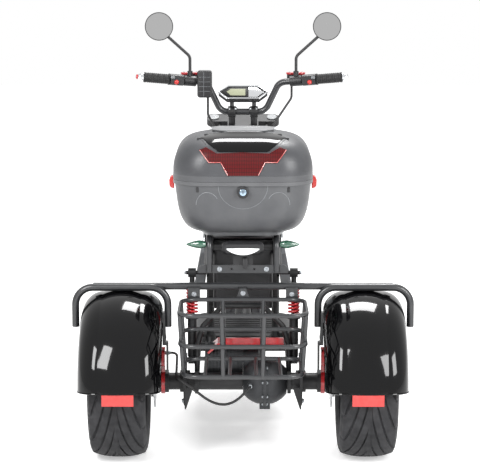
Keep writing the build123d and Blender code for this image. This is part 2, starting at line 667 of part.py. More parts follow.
def frame():
    """The welded steel frame: head tube, down tube, deck rails, seat rails, shock brackets and pivot."""
    low, high = on_axis(HEAD_LOW), on_axis(HEAD_HIGH)
    deck_y = DECK_FRONT_Y - 40
    rail_z = DECK_Z - RAIL_RADIUS
    welded = down_tube(DOWN_TUBE_RADIUS)
    welded += rod((-RAIL_X, deck_y - 60, rail_z), (RAIL_X, deck_y - 60, rail_z), RAIL_RADIUS - 1)
    knee_y = DECK_REAR_Y - 50
    rail = tube(
        [
            (RAIL_X, deck_y - 60, rail_z),
            (RAIL_X, knee_y, rail_z),
            (RAIL_X, knee_y - 30, SEAT_RAIL_Z),
            (RAIL_X, SEAT_REAR_Y - 60, SEAT_RAIL_Z - 10),
            (RAIL_X, -2, TAIL_Z),
        ],
        RAIL_RADIUS,
        60,
    )
    rail += rod((RAIL_X, knee_y - 60, SEAT_RAIL_Z), (RAIL_X, SEAT_FRONT_Y - 90, SEAT_RAIL_Z), RAIL_RADIUS)
    head = Vector(*SHOCK_HEAD)
    rail += rod((RAIL_X, head.Y, TAIL_Z + 12), (RAIL_X, head.Y, head.Z), 10)
    rail += rod((RAIL_X, head.Y, head.Z), (SHOCK_X + 18, head.Y, head.Z), 6)
    rail += rod((RAIL_X, PIVOT_Y, PIVOT_Z), (SHOCK_X + 2, PIVOT_Y, PIVOT_Z), PIVOT_RADIUS)
    rail += rod((RAIL_X, PIVOT_Y - 20, rail_z), (RAIL_X, PIVOT_Y, PIVOT_Z), 16)
    welded += rail
    welded += mirror_x(rail)
    crosses = [
        # along, height
        (SEAT_FRONT_Y - 110, SEAT_RAIL_Z),
        (SEAT_REAR_Y + 20, SEAT_RAIL_Z - 4),
        (PIVOT_Y - 14, rail_z + 12),
    ]
    for y, z in crosses:
        welded += rod((-RAIL_X, y, z), (RAIL_X, y, z), RAIL_RADIUS - 2)
    side = BATTERY_HIGH[0] + SEAT_GAP
    for y in (BATTERY_LOW[1] + 40, BATTERY_HIGH[1] - 40):
        foot = BATTERY_LOW[2] - SEAT_GAP
        share = min(1, (y + 2) / (SEAT_REAR_Y - 58))
        top = TAIL_Z + (SEAT_RAIL_Z - 10 - TAIL_Z) * share
        welded += block((-RAIL_X, y - 12, foot - 4), (RAIL_X, y + 12, foot))
        for x in (-RAIL_X, side):
            welded += block((x, y - 12, foot - 4), (x + RAIL_X - side, y + 12, top))
    welded += rod(low, high, HEAD_TUBE_RADIUS)
    welded -= rod(on_axis(HEAD_LOW - 20), on_axis(HEAD_HIGH + 20), STEM_RADIUS + RUN_GAP)
    return welded


def deck():
    """The foot deck: a moulded tray with a turned down edge and raised anti-slip ribs."""
    length = DECK_FRONT_Y - DECK_REAR_Y
    middle = (DECK_FRONT_Y + DECK_REAR_Y) / 2
    outline = RectangleRounded(2 * DECK_HALF, length, 50)
    tray = extrude(outline, DECK_THICK)
    tray = fillet(tray.faces().sort_by(Axis.Z)[-1].edges(), 8)
    tray -= extrude(offset(outline, -6), DECK_THICK - 7)
    for rib in range(DECK_RIBS):
        y = (rib - (DECK_RIBS - 1) / 2) * (length - 70) / DECK_RIBS
        tray += Pos(0, y, DECK_THICK) * Box(2 * DECK_HALF - 70, 10, 4)
    placed = Pos(0, middle, DECK_Z + SEAT_GAP - DECK_THICK + 7) * tray
    reach = RAIL_RADIUS + 3
    for side in (-1, 1):
        x = side * RAIL_X
        placed -= block((x - reach, DECK_REAR_Y - 1, DECK_Z - 60), (x + reach, DECK_REAR_Y + 12, DECK_Z + 1))
    return placed - down_tube(DOWN_TUBE_RADIUS + SEAT_GAP)


def battery_case():
    """The battery case under the seat, a plain block that rests on the frame's cradle bars."""
    case = block(BATTERY_LOW, BATTERY_HIGH)
    case = fillet(case.edges().filter_by(Axis.Z), 12)
    return case


SEAT_TABLE = [
    # share of the length, of the half width, of the height and of the corner radius
    (0.0, 0.93, 0.8, 1.0),
    (0.1, 1.0, 1.06, 1.1),
    (0.33, 1.0, 1.0, 1.0),
    (0.52, 0.98, 0.74, 0.9),
    (0.72, 0.9, 0.68, 0.9),
    (0.88, 0.72, 0.66, 0.9),
    (1.0, 0.5, 0.42, 0.7),
]


def seat():
    """The saddle as a plain closed solid: a low front, a dip for the rider and a raised back half."""
    base = SEAT_RAIL_Z + RAIL_RADIUS + SEAT_GAP
    sections = []
    for along, wide, high, round_share in SEAT_TABLE:
        half, top, corner = wide * SEAT_HALF, high * SEAT_THICK, round_share * SEAT_ROUND
        bulge = corner * (1 - sqrt(0.5))
        outline = make_face(
            [
                Line((-half, 0), (half, 0)),
                Line((half, 0), (half, top - corner)),
                ThreePointArc((half, top - corner), (half - bulge, top - bulge), (half - corner, top)),
                Line((half - corner, top), (-half + corner, top)),
                ThreePointArc((-half + corner, top), (-half + bulge, top - bulge), (-half, top - corner)),
                Line((-half, top - corner), (-half, 0)),
            ]
        )
        y = SEAT_REAR_Y + along * (SEAT_FRONT_Y - SEAT_REAR_Y)
        sections.append(Plane(origin=(0, y, base), x_dir=(1, 0, 0), z_dir=(0, -1, 0)) * outline)
    return loft(sections)


def side_covers():
    """Flared plastic covers on each side under the seat, with round corners and a return at the edge."""
    top, foot = SEAT_RAIL_Z + RAIL_RADIUS - 6, SEAT_RAIL_Z - 150
    inner, outer = RAIL_X + 15, RAIL_X + 44
    outline = Polyline((inner, top), (inner + 4, top), (outer + 4, foot), (outer, foot), close=True)
    front, rear = DECK_REAR_Y + 50, SEAT_REAR_Y - 115
    plane = Plane(origin=(0, front, 0), x_dir=(1, 0, 0), z_dir=(0, -1, 0))
    panel = extrude(plane * make_face(outline), front - rear)
    corners = [
        (rear, top - 30),
        (rear + 60, top),
        (front - 20, top),
        (front, top - 20),
        (front - 70, foot),
        (rear + 90, foot),
    ]
    side_outline = make_face(Polyline(*corners, close=True))
    side_outline = fillet(side_outline.vertices(), 22)
    cut_plane = Plane(origin=(RAIL_X, 0, 0), x_dir=(0, 1, 0), z_dir=(1, 0, 0))
    cover = panel & extrude(cut_plane * side_outline, 90)
    depth = Polyline((inner - 1, top), (inner + 2, top), (outer + 2, foot), (inner - 1, foot), close=True)
    edge = side_outline - offset(side_outline, -4)
    cover += extrude(plane * make_face(depth), front - rear) & extrude(cut_plane * edge, 90)
    for y in (rear + 150, front - 60):
        cover += rod((RAIL_X + RAIL_RADIUS + SEAT_GAP, y, SEAT_RAIL_Z), (RAIL_X + 20, y, SEAT_RAIL_Z), 8)
    return both_sides(cover)


# Top box on its rack


def box_sections(table, inset):
    """Rounded rectangles for a loft of the box, from a table of heights and how far in the sides lie."""
    sections = []
    for z, inward, share in table:
        width, depth = BOX_WIDTH - 2 * inward, BOX_DEPTH - 2 * inward
        corner = share * min(width, depth)
        outline = RectangleRounded(width - 2 * inset, depth - 2 * inset, corner - inset)
        sections.append(Pos(0, BOX_CENTRE_Y, z) * outline)
    return sections


TUB_TABLE = [
    # height, how far the sides lie in from the rim, corner as a share of the shorter side
    (BOX_FLOOR_Z, 73, 0.27),
    (BOX_FLOOR_Z + 20, 34, 0.28),
    (BOX_FLOOR_Z + 68, 13, 0.27),
    (BOX_RIM_Z, 0, 0.27),
]
LID_TABLE = [
    # height, how far the sides lie in from the rim, corner as a share of the shorter side
    (BOX_RIM_Z + BOX_SEAM, 0, 0.27),
    (BOX_RIM_Z + 62, 2, 0.27),
    (BOX_TOP_Z - 38, 22, 0.29),
    (BOX_TOP_Z - 12, 72, 0.34),
    (BOX_TOP_Z, 118, 0.38),
]
BAND_CORNER = TUB_TABLE[-1][2] * min(BOX_WIDTH, BOX_DEPTH)


def grown(table, first, last):
    """A table with its lowest and highest heights moved."""
    rows = [list(row) for row in table]
    rows[0][0] += first
    rows[-1][0] += last
    return rows


def rim_band(low, height):
    """The band round the box's rim."""
    rings = []
    for out, start, rise in ((3, low, height), (-3, low - 1, height + 2)):
        outline = RectangleRounded(BOX_WIDTH + 2 * out, BOX_DEPTH + 2 * out, BAND_CORNER + out)
        rings.append(extrude(Pos(0, BOX_CENTRE_Y, start) * outline, rise))
    return rings[0] - rings[1]


def topbox_tub():
    """The lower shell of the top box, hollow, with a rim band and hinge barrels."""
    shell = loft(box_sections(TUB_TABLE, 0)) - loft(box_sections(grown(TUB_TABLE, BOX_WALL, 1), BOX_WALL))
    shell += rim_band(BOX_RIM_Z - 11, 11)
    return shell - knuckles(LID_KNUCKLE, 1) + knuckles(TUB_KNUCKLE, 0)


def knuckles(span, room):
    """A pair of hinge barrels on the box's front edge, or the slightly larger room they need."""
    start, end = span[0] - room / 2, span[1] + room / 2
    pair = []
    for side in (-1, 1):
        low, high = sorted((side * start, side * end))
        pair.append(rod((low, HINGE_Y, HINGE_Z), (high, HINGE_Y, HINGE_Z), HINGE_RADIUS + room))
    return pair


def topbox_lid():
    """The domed lid, hollow, with a rim band that meets the tub's."""
    shell = loft(box_sections(LID_TABLE, 0)) - loft(box_sections(grown(LID_TABLE, -1, -BOX_WALL), BOX_WALL))
    shell += rim_band(BOX_RIM_Z + BOX_SEAM, 17)
    return shell - knuckles(TUB_KNUCKLE, 1) + knuckles(LID_KNUCKLE, 0)


def lid_skin(outline, depth):
    """A thin layer that lies on the lid wherever an outline extruded through it reaches."""
    inner = loft(box_sections(LID_TABLE, -SEAT_GAP))
    outer = loft(box_sections(grown(LID_TABLE, 0, 3), -3.0))
    return (extrude(outline, depth) & outer) - inner - loft(box_sections(LID_TABLE, 0))


def topbox_reflector():
    """The red reflector across the lid's back: a wide bar with raised tips and a tapered centre."""
    half = [
        # out, up from the rim
        (0, 20),
        (45, 20),
        (64, 57),
        (100, 57),
        (128, 93),
        (108, 101),
        (76, 84),
        (0, 87),
    ]
    points = [(x, BOX_RIM_Z + z) for x, z in half] + [(-x, BOX_RIM_Z + z) for x, z in half[-2:0:-1]]
    plane = Plane(origin=(0, BOX_CENTRE_Y - 60, 0), x_dir=(1, 0, 0), z_dir=(0, -1, 0))
    return lid_skin(plane * make_face(Polyline(*points, close=True)), 300)


def topbox_latches():
    """Red side latches on the tub."""
    side = block(
        (BOX_WIDTH / 2 + 3 + SEAT_GAP, BOX_CENTRE_Y - LATCH_WIDTH / 2, BOX_RIM_Z - LATCH_HEIGHT),
        (BOX_WIDTH / 2 + LATCH_OUT, BOX_CENTRE_Y + LATCH_WIDTH / 2, BOX_RIM_Z - 1),
    )
    return both_sides(side)


def topbox_lock():
    """The round key lock on the back of the tub."""
    back = BOX_CENTRE_Y - BOX_DEPTH / 2
    barrel = rod((0, back - 5, BOX_RIM_Z - 29), (0, back + 30, BOX_RIM_Z - 29), 16)
    return barrel - loft(box_sections(TUB_TABLE, -SEAT_GAP))


def topbox_base():
    """The moulded plate between the box and its rack."""
    width, depth = BOX_WIDTH - 2 * TUB_TABLE[0][1] - 6, BOX_DEPTH - 2 * TUB_TABLE[0][1] - 6
    top = BOX_FLOOR_Z - SEAT_GAP
    sections = []
    for z, inward in ((top - BOX_BASE, 12), (top, 0)):
        outline = RectangleRounded(width - 2 * inward, depth - 2 * inward, 0.2 * min(width, depth))
        sections.append(Pos(0, BOX_CENTRE_Y, z) * outline)
    return loft(sections)


LAMP_Z = TAIL_Z + 67.0
LAMP_HALF = 62.0
LAMP_RISE = 21.0
LAMP_LENGTH = 34.0
SIGNAL_LENGTH = 58.0
SIGNAL_RADIUS = 12.5
RACK_REAR_Y = TAIL_FACE - PLATE_THICK
RACK_FRONT_Y = SEAT_REAR_Y - 35.0


def tail_lamp():
    """The tail lamp's housing below the box: a rounded black shell on a foot from the tail plate."""
    y = TAIL_FACE - PLATE_THICK
    shell = block((-LAMP_HALF, y - LAMP_LENGTH, LAMP_Z - LAMP_RISE), (LAMP_HALF, y, LAMP_Z + LAMP_RISE))
    shell = fillet(shell.edges().filter_by(Axis.Y), 0.9 * LAMP_RISE)
    shell = chamfer(shell.faces().sort_by(Axis.Y)[0].edges(), 8)
    return shell + block((-30, y, TAIL_Z + PLATE_RISE + SEAT_GAP), (30, y + PLATE_THICK, LAMP_Z))


def tail_lens():
    """The lamp's white glass on the housing's back face: nearly flat along its top and bowed below."""
    y = TAIL_FACE - PLATE_THICK - LAMP_LENGTH - SEAT_GAP
    plane = Plane(origin=(0, y, LAMP_Z - 8), x_dir=(1, 0, 0), z_dir=(0, -1, 0))
    half, rise = 0.78 * LAMP_HALF, 0.48 * LAMP_RISE
    outline = [
        Line((-half, rise - 4), (-half, rise - 1)),
        ThreePointArc((-half, rise - 1), (0, rise), (half, rise - 1)),
        Line((half, rise - 1), (half, rise - 4)),
        ThreePointArc((half, rise - 4), (0, -rise), (-half, rise - 4)),
    ]
    return extrude(plane * make_face(outline), 5)


def rear_signals():
    """Turn signals as spindles that point outwards from the rack's posts."""
    start = POST_X + POST_RADIUS + SEAT_GAP

    def at(share, radius):
        return (start + share * SIGNAL_LENGTH, radius)

    foot, wide, tip = at(0, 7), at(0.36, SIGNAL_RADIUS), at(1, 2)
    profile = make_face(
        [
            Line(at(0, 0), foot),
            ThreePointArc(foot, at(0.18, SIGNAL_RADIUS - 1.5), wide),
            ThreePointArc(wide, at(0.72, SIGNAL_RADIUS - 4.5), tip),
            Line(tip, at(1, 0)),
            Line(at(1, 0), at(0, 0)),
        ]
    )
    return both_sides(Pos(0, RACK_REAR_Y, LAMP_Z + 8) * revolve(profile, axis=Axis.X))


def tail_rack():
    """The tail plate with its holes, and the box rack's posts, which rise from it and run forward."""
    top = BOX_FLOOR_Z - BOX_BASE - POST_RADIUS - 2 * SEAT_GAP
    outline = Pos(0, TAIL_Z) * Rectangle(2 * PLATE_HALF, 2 * PLATE_RISE)
    outline = chamfer(outline.vertices().group_by(Axis.Y)[-1], 10)
    outline -= Pos(0, TAIL_Z) * GridLocations(PLATE_HOLE_SPACING, 1, 2, 1) * Circle(PLATE_HOLE_RADIUS)
    rack = extrude(Plane(origin=(0, TAIL_FACE, 0), x_dir=(1, 0, 0), z_dir=(0, -1, 0)) * outline, PLATE_THICK)
    slope = (SEAT_RAIL_Z - 10 - TAIL_Z) / (SEAT_REAR_Y - 58)
    for side in (-1, 1):
        x = side * RAIL_X
        lug_end = -2 - RAIL_RADIUS * slope / sqrt(1 + slope * slope) - SEAT_GAP
        rack += block((x - 9, TAIL_FACE, TAIL_Z - 9), (x + 9, lug_end, TAIL_Z + RAIL_RADIUS))
    foot = TAIL_Z - 0.7 * PLATE_RISE
    route = [(POST_X, RACK_REAR_Y, foot), (POST_X, RACK_REAR_Y, top), (POST_X, RACK_FRONT_Y, top)]
    post = tube(route, POST_RADIUS, 34)
    leg_y = RACK_FRONT_Y - 34
    leg_z = TAIL_Z + slope * (leg_y + 2) + RAIL_RADIUS + 2.0
    post += rod((POST_X, leg_y, top), (POST_X, leg_y, leg_z), POST_RADIUS - 1.5)
    rack += post
    rack += mirror_x(post)
    for bar_y in (RACK_REAR_Y + 50, (RACK_REAR_Y + RACK_FRONT_Y) / 2, RACK_FRONT_Y - 12):
        rack += rod((-POST_X, bar_y, top), (POST_X, bar_y, top), POST_RADIUS - 1)
    return rack


# Steering


def clamp_plate(along, thick, bore):
    """A fork clamp: a waisted plate that takes both fork tubes and the stem."""
    half = FORK_LEG_X + STANCHION_RADIUS + 9
    plane = Plane(origin=on_axis(along), x_dir=(1, 0, 0), z_dir=AXIS_UP)
    reach = STANCHION_RADIUS + 9
    outline = Pos(0, FORK_OFFSET) * RectangleRounded(2 * half, 2 * reach, reach - 1)
    outline += Circle(HEAD_TUBE_RADIUS - 2)
    outline += Pos(0, FORK_OFFSET / 2) * Rectangle(2 * CLAMP_X + 30, FORK_OFFSET + 44)
    plate = extrude(plane * outline, thick)
    for side in (-1, 1):
        x = side * FORK_LEG_X
        plate -= rod(on_axis(along - 1, FORK_OFFSET, x), on_axis(along + thick + 1, FORK_OFFSET, x), bore)
    return plate


def fork_clamps():
    """Upper and lower clamps joined by the steering stem."""
    lower = HEAD_LOW - 2 - CLAMP_THICK
    upper = HEAD_HIGH + 2
    bore = STANCHION_RADIUS + SEAT_GAP
    crown = clamp_plate(lower, CLAMP_THICK, bore) + clamp_plate(upper, CLAMP_THICK, bore)
    crown += rod(on_axis(lower + 4), on_axis(upper + 4), STEM_RADIUS)
    for side in (-1, 1):
        base = on_axis(upper + CLAMP_THICK - 2, 0, side * CLAMP_X)
        middle = on_axis(HEAD_HIGH + 2 + BAR_HEIGHT, 0, side * CLAMP_X)
        crown += rod(base, middle, 11)
        crown += rod(middle - Vector(13, 0, 0), middle + Vector(13, 0, 0), 19)
        crown -= rod(middle - Vector(20, 0, 0), middle + Vector(20, 0, 0), BAR_RADIUS + SEAT_GAP)
    return crown


def fork_legs():
    """Chrome upper tubes."""
    legs = []
    for side in (-1, 1):
        x = side * FORK_LEG_X
        foot = on_axis(SLIDER_TOP - 42, FORK_OFFSET, x)
        top = on_axis(HEAD_HIGH + CLAMP_THICK + 6, FORK_OFFSET, x)
        legs.append(rod(foot, top, STANCHION_RADIUS))
    return Compound(children=legs)


def fork_sliders():
    """Lower fork legs with the axle lugs."""
    sliders = []
    for side in (-1, 1):
        x = side * FORK_LEG_X
        top = on_axis(SLIDER_TOP, FORK_OFFSET, x)
        slider = rod(on_axis(-18, FORK_OFFSET, x), top, SLIDER_RADIUS)
        slider += rod(top - AXIS_UP * 16, top + AXIS_UP * 4, SLIDER_RADIUS + 3)
        lug = FRONT_AXLE + Vector(x, 0, 0)
        slider += rod(lug - Vector(SLIDER_RADIUS, 0, 0), lug + Vector(SLIDER_RADIUS, 0, 0), 22)
        slider -= rod(top - AXIS_UP * 43, top + AXIS_UP * 20, STANCHION_RADIUS + SEAT_GAP)
        slider -= rod(lug - Vector(40, 0, 0), lug + Vector(40, 0, 0), FRONT_AXLE_RADIUS + SEAT_GAP)
        sliders += slider.solids()
    return Compound(children=sliders)


def front_axle():
    """The through axle with its head and nut."""
    end = FORK_LEG_X + SLIDER_RADIUS + SEAT_GAP
    profile = ring(-end - 12, end + 12, 0, FRONT_AXLE_RADIUS)
    for side in (-1, 1):
        middle = side * (end + 6)
        profile += ring(middle - 6, middle + 6, 0, 14)
    axle = revolve(profile, axis=Axis.X)
    for side in (-1, 1):
        start, stop = side * (FRONT_HUB_HALF + RUN_GAP), side * (FORK_LEG_X - SLIDER_RADIUS - SEAT_GAP)
        axle += revolve(ring(min(start, stop), max(start, stop), 0, 13), axis=Axis.X)
    return Pos(*FRONT_AXLE) * axle


def front_fender():
    """The front mudguard on the fork sliders, with its two stays."""
    half, top = FRONT_TYRE_WIDTH / 2 + 7, TYRE_RADIUS + 24
    outer = fender_face(half, top, 34, top - 46) - fender_face(half - 3, top - 3, 31, top - 60)
    start, end = 62.0, 172.0
    lean = radians(start)
    plane = Plane(origin=(0, 0, 0), x_dir=(1, 0, 0), z_dir=(0, -sin(lean), cos(lean)))
    guard = Pos(*FRONT_AXLE) * revolve(plane * outer, axis=Axis.X, revolution_arc=end - start)
    for side in (-1, 1):
        pad = on_axis(TYRE_RADIUS + 2, FORK_OFFSET)
        stay = rod(pad + Vector(side * (half - 2), 0, 0), pad + Vector(side * (half + 12), 0, 0), 13)
        leg = on_axis(0, FORK_OFFSET, side * FORK_LEG_X)
        guard += stay - rod(leg, leg + AXIS_UP * SLIDER_TOP, SLIDER_RADIUS + SEAT_GAP)
    return guard


def headlamp():
    """A round lamp shell with its bracket to the fork's lower clamp."""
    centre = on_axis(LAMP_ALONG, LAMP_FORWARD)
    profile = make_face(
        [
            Line((0, -62), (0, 52)),
            Line((0, 52), (78, 52)),
            Line((78, 52), (78, 26)),
            dome(78, 26, -62),
        ]
    )
    shell = revolve(Plane(origin=(0, 0, 0), x_dir=(1, 0, 0), z_dir=(0, 0, 1)) * profile, axis=Axis.Y)
    shell -= Pos(0, 42, 0) * Rot(-90, 0, 0) * Cylinder(LAMP_BORE, 30)
    lamp = Pos(*centre) * shell
    for side in (-1, 1):
        leg = on_axis(LAMP_ALONG, FORK_OFFSET, side * FORK_LEG_X)
        lamp += rod(leg - AXIS_UP * 13, leg + AXIS_UP * 13, STANCHION_RADIUS + 7)
        lamp += rod(leg, (side * 62, centre.Y, leg.Z + (centre.Z - leg.Z) * 0.9), 9)
        lamp -= rod(leg - AXIS_UP * 20, leg + AXIS_UP * 20, STANCHION_RADIUS + SEAT_GAP)
    return lamp


def headlamp_lens():
    """The lamp's domed front glass."""
    centre = on_axis(LAMP_ALONG, LAMP_FORWARD)
    radius = LAMP_BORE - SEAT_GAP
    profile = make_face(
        [
            Line((0, 27.2), (radius, 27.2)),
            Line((radius, 27.2), (radius, 50)),
            dome(radius, 50, 61),
            Line((0, 61), (0, 27.2)),
        ]
    )
    return Pos(*centre) * revolve(profile, axis=Axis.Y)


def bar_points(side):
    """The bar's route on one side, from its middle to its end."""
    clamp = on_axis(HEAD_HIGH + 2 + BAR_HEIGHT)
    return [clamp + Vector(side * out, -back, up) for out, back, up in BAR_ROUTE]


def handlebar():
    """One bent tube from end to end."""
    route = bar_points(-1)[:0:-1] + bar_points(1)[1:]
    return tube(route, BAR_RADIUS, BAR_BEND)


def bar_place(side, from_end):
    """A plane on the bar's outer run, its z along the bar outwards, at a distance in from the end."""
    inner, end = bar_points(side)[-2:]
    along = (end - inner).normalized()
    return Plane(origin=end - along * from_end, x_dir=(0, 1, 0), z_dir=along)


def collar(side, start, length, radius):
    """A sleeve on the bar's outer run."""
    place = bar_place(side, start)
    sleeve = Solid.make_cylinder(radius, length, place)
    return sleeve - Solid.make_cylinder(BAR_RADIUS + SEAT_GAP, length + 4, place.offset(-2))


GRIP_START = GRIP_LENGTH - 4.0
POD_LENGTH = 46.0
POD_START = GRIP_START + POD_LENGTH + SEAT_GAP
MASTER_START = POD_START + 44.0


def grips():
    """Rubber grips."""
    sleeves = [collar(side, GRIP_START, GRIP_LENGTH - 8, GRIP_RADIUS) for side in (-1, 1)]
    return Compound(children=[solid for sleeve in sleeves for solid in sleeve.solids()])


def bar_ends():
    """Tapered metal weights at the bar's ends."""
    weights = []
    for side in (-1, 1):
        place = bar_place(side, -SEAT_GAP)
        weights.append(Solid.make_cone(GRIP_RADIUS - 1, 6, 20, place))
    return Compound(children=weights)


def switch_pods():
    """Switch housings beside the grips."""
    pods = []
    for side in (-1, 1):
        pod = collar(side, POD_START, POD_LENGTH, 19)
        place = bar_place(side, POD_START - POD_LENGTH / 2)
        pod += place * Pos(-8, 0, 0) * Box(34, 30, POD_LENGTH)
        bore = place.offset(-POD_LENGTH / 2 - 10)
        pod -= Solid.make_cylinder(BAR_RADIUS + SEAT_GAP, POD_LENGTH + 20, bore)
        pods += pod.solids()
    return Compound(children=pods)


def brake_masters():
    """Brake master cylinders clamped inboard of the switches, with their levers ahead of the grips."""
    masters = []
    for side in (-1, 1):
        body = collar(side, MASTER_START, 40, 18)
        place = bar_place(side, MASTER_START - 20)
        centre = place.origin
        tank = block(centre + Vector(-30, 21, -10), centre + Vector(30, 47, 20))
        neck = block(centre + Vector(-12, 0, -10), centre + Vector(12, 24, 10))
        end = bar_points(side)[-1]
        lever = tube(
            [
                (centre.X + side * 16, centre.Y + 34, centre.Z - 2),
                (centre.X + side * 60, centre.Y + 52, centre.Z - 2),
                (end.X - side * 24, end.Y + 52, end.Z - 4),
            ],
            5,
            20,
        )
        whole = body + tank + neck + lever
        whole -= Solid.make_cylinder(BAR_RADIUS + SEAT_GAP, 60, place.offset(-30))
        masters += whole.solids()
    return Compound(children=masters)


def master_caps():
    """Red lids on the fluid tanks."""
    caps = []
    for side in (-1, 1):
        centre = bar_place(side, MASTER_START - 20).origin
        low = centre + Vector(-33, 18, 20 + SEAT_GAP)
        caps += block(low, low + Vector(66, 32, 7)).solids()
    return Compound(children=caps)


MIRROR_X = 286.0
MIRROR_Z = 1262.0
MIRROR_ELBOW_Z = 1160.0
MIRROR_RADIUS = 48.0


def mirrors():
    """Round mirrors on bent stems that screw into the brake masters."""
    pieces = []
    for side in (-1, 1):
        centre = bar_place(side, MASTER_START - 20).origin
        foot = (centre.X, centre.Y, centre.Z + 12)
        y = centre.Y
        stem = tube([foot, (centre.X, y, MIRROR_ELBOW_Z), (side * MIRROR_X, y, MIRROR_Z - 8)], 5, 24)
        stem += rod(foot, (foot[0], foot[1], foot[2] + 22), 9)
        stem -= Solid.make_cylinder(18 + SEAT_GAP, 80, bar_place(side, MASTER_START + 20))
        shell = Pos(side * MIRROR_X, y, MIRROR_Z) * revolve(
            make_face(
                [
                    Line((0, -8), (MIRROR_RADIUS, -8)),
                    Line((MIRROR_RADIUS, -8), (MIRROR_RADIUS, 2)),
                    dome(MIRROR_RADIUS, 2, 17),
                    Line((0, 17), (0, -8)),
                ]
            ),
            axis=Axis.Y,
        )
        whole = stem + shell
        whole -= Pos(side * MIRROR_X, y - 7, MIRROR_Z) * Rot(90, 0, 0) * Cylinder(MIRROR_RADIUS - 2, 4)
        pieces += whole.solids()
    return Compound(children=pieces)


def mirror_glass():
    """The two glasses, let into their shells."""
    pieces = []
    for side in (-1, 1):
        y = bar_place(side, MASTER_START - 20).origin.Y
        glass = Pos(side * MIRROR_X, y - 6.4, MIRROR_Z) * Rot(90, 0, 0) * Cylinder(MIRROR_RADIUS - 2.2, 2.4)
        pieces += glass.solids()
    return Compound(children=pieces)


def dash_plane():
    """The dash's back plane: it leans towards the rider above the bar clamps."""
    clamp = on_axis(HEAD_HIGH + 2 + BAR_HEIGHT)
    return Plane(origin=clamp + Vector(0, 6, 46), x_dir=(1, 0, 0), z_dir=(0, -0.72, 0.69))


DASH_HALF = 84.0
DASH_LOW = 26.0
DASH_HIGH = 28.0
DASH_DEPTH = 30.0


def dash_face(inset):
    """The dash's six-sided outline, moved in by an edge width."""
    corners = [
        (-DASH_HALF, 2),
        (-DASH_HALF + 30, -DASH_LOW),
        (DASH_HALF - 30, -DASH_LOW),
        (DASH_HALF, 2),
        (DASH_HALF - 34, DASH_HIGH),
        (-DASH_HALF + 34, DASH_HIGH),
    ]
    face = make_face(Polyline(*corners, close=True))
    return offset(face, -inset) if inset else face


def dash():
    """The display's six-sided housing with a foot on each bar clamp."""
    plane = dash_plane()
    shape = extrude(plane * dash_face(0), DASH_DEPTH)
    shape = chamfer(shape.faces().sort_by(Axis(plane.origin, plane.z_dir))[0].edges(), 9)
    shape -= extrude(plane.offset(DASH_DEPTH - 3) * dash_face(5), 5)
    for side in (-1, 1):
        middle = on_axis(HEAD_HIGH + 2 + BAR_HEIGHT, 0, side * CLAMP_X)
        shape += rod(middle + Vector(0, 0, 19 + SEAT_GAP), middle + Vector(0, 0, 42), 7)
    return shape


def dash_screen():
    """The display glass, let into the housing."""
    return extrude(dash_plane().offset(DASH_DEPTH - 3 + SEAT_GAP) * dash_face(5 + SEAT_GAP), 2)


BOX_DROP = 50.0
CABLE_RADIUS = 4.0
CABLE_BEND = 26.0


def cable_end(side):
    """Where a control cable meets the back of the upper fork clamp, and the point it comes from."""
    bar_back = FORK_OFFSET - STANCHION_RADIUS - 9 - SEAT_GAP
    end = on_axis(HEAD_HIGH + 2 + CLAMP_THICK / 2, bar_back, side * (FORK_LEG_X - 18))
    return [end - AXIS_FORWARD * 66, end]


def control_cable_left():
    """The loom from the control box down to the upper fork clamp."""
    outer = bar_points(-1)[2]
    start = outer + Vector(4, -23, -BOX_DROP - SEAT_GAP)
    return tube([start, start - Vector(0, 0, 60), *cable_end(-1)], CABLE_RADIUS, CABLE_BEND)


def control_cable_right():
    """The hose from the right brake master down to the upper fork clamp."""
    start = bar_place(1, MASTER_START - 20).origin + Vector(-14, 34, -10 - SEAT_GAP)
    return tube([start, start - Vector(0, 0, 50), *cable_end(1)], CABLE_RADIUS, CABLE_BEND)


def brake_hose():
    """The hose from the left caliper round the hanger and under the axle to the gear case."""
    face = REAR_DISC_X - DISC_THICKNESS / 2 - SWING_GAP - 24 - SEAT_GAP
    out, back = HANGER_X + HANGER_THICK + 16, -84.0
    port_x, port_y = HOSE_PORT
    route = [
        (-face, 12, AXLE_Z + 85),
        (-out, 12, AXLE_Z + 85),
        (-out, back, AXLE_Z + 30),
        (-HANGER_X + 20, back, AXLE_Z),
        (-88, back, AXLE_Z - 50),
        (-30, back, AXLE_Z - 46),
        (port_x, back, AXLE_Z),
        (port_x, port_y - SEAT_GAP, AXLE_Z),
    ]
    return tube(route, CABLE_RADIUS, 22)


def control_box():
    """The black box clipped to the left riser."""
    outer = bar_points(-1)[2]
    box = block((outer.X - 32, outer.Y - 42, outer.Z - BOX_DROP), (outer.X + 18, outer.Y - 4, outer.Z + 42))
    box = fillet(box.faces().sort_by(Axis.Y)[0].edges(), 5)
    route = bar_points(-1)[:0:-1] + bar_points(1)[1:]
    return box - tube(route, BAR_RADIUS + SEAT_GAP, BAR_BEND)


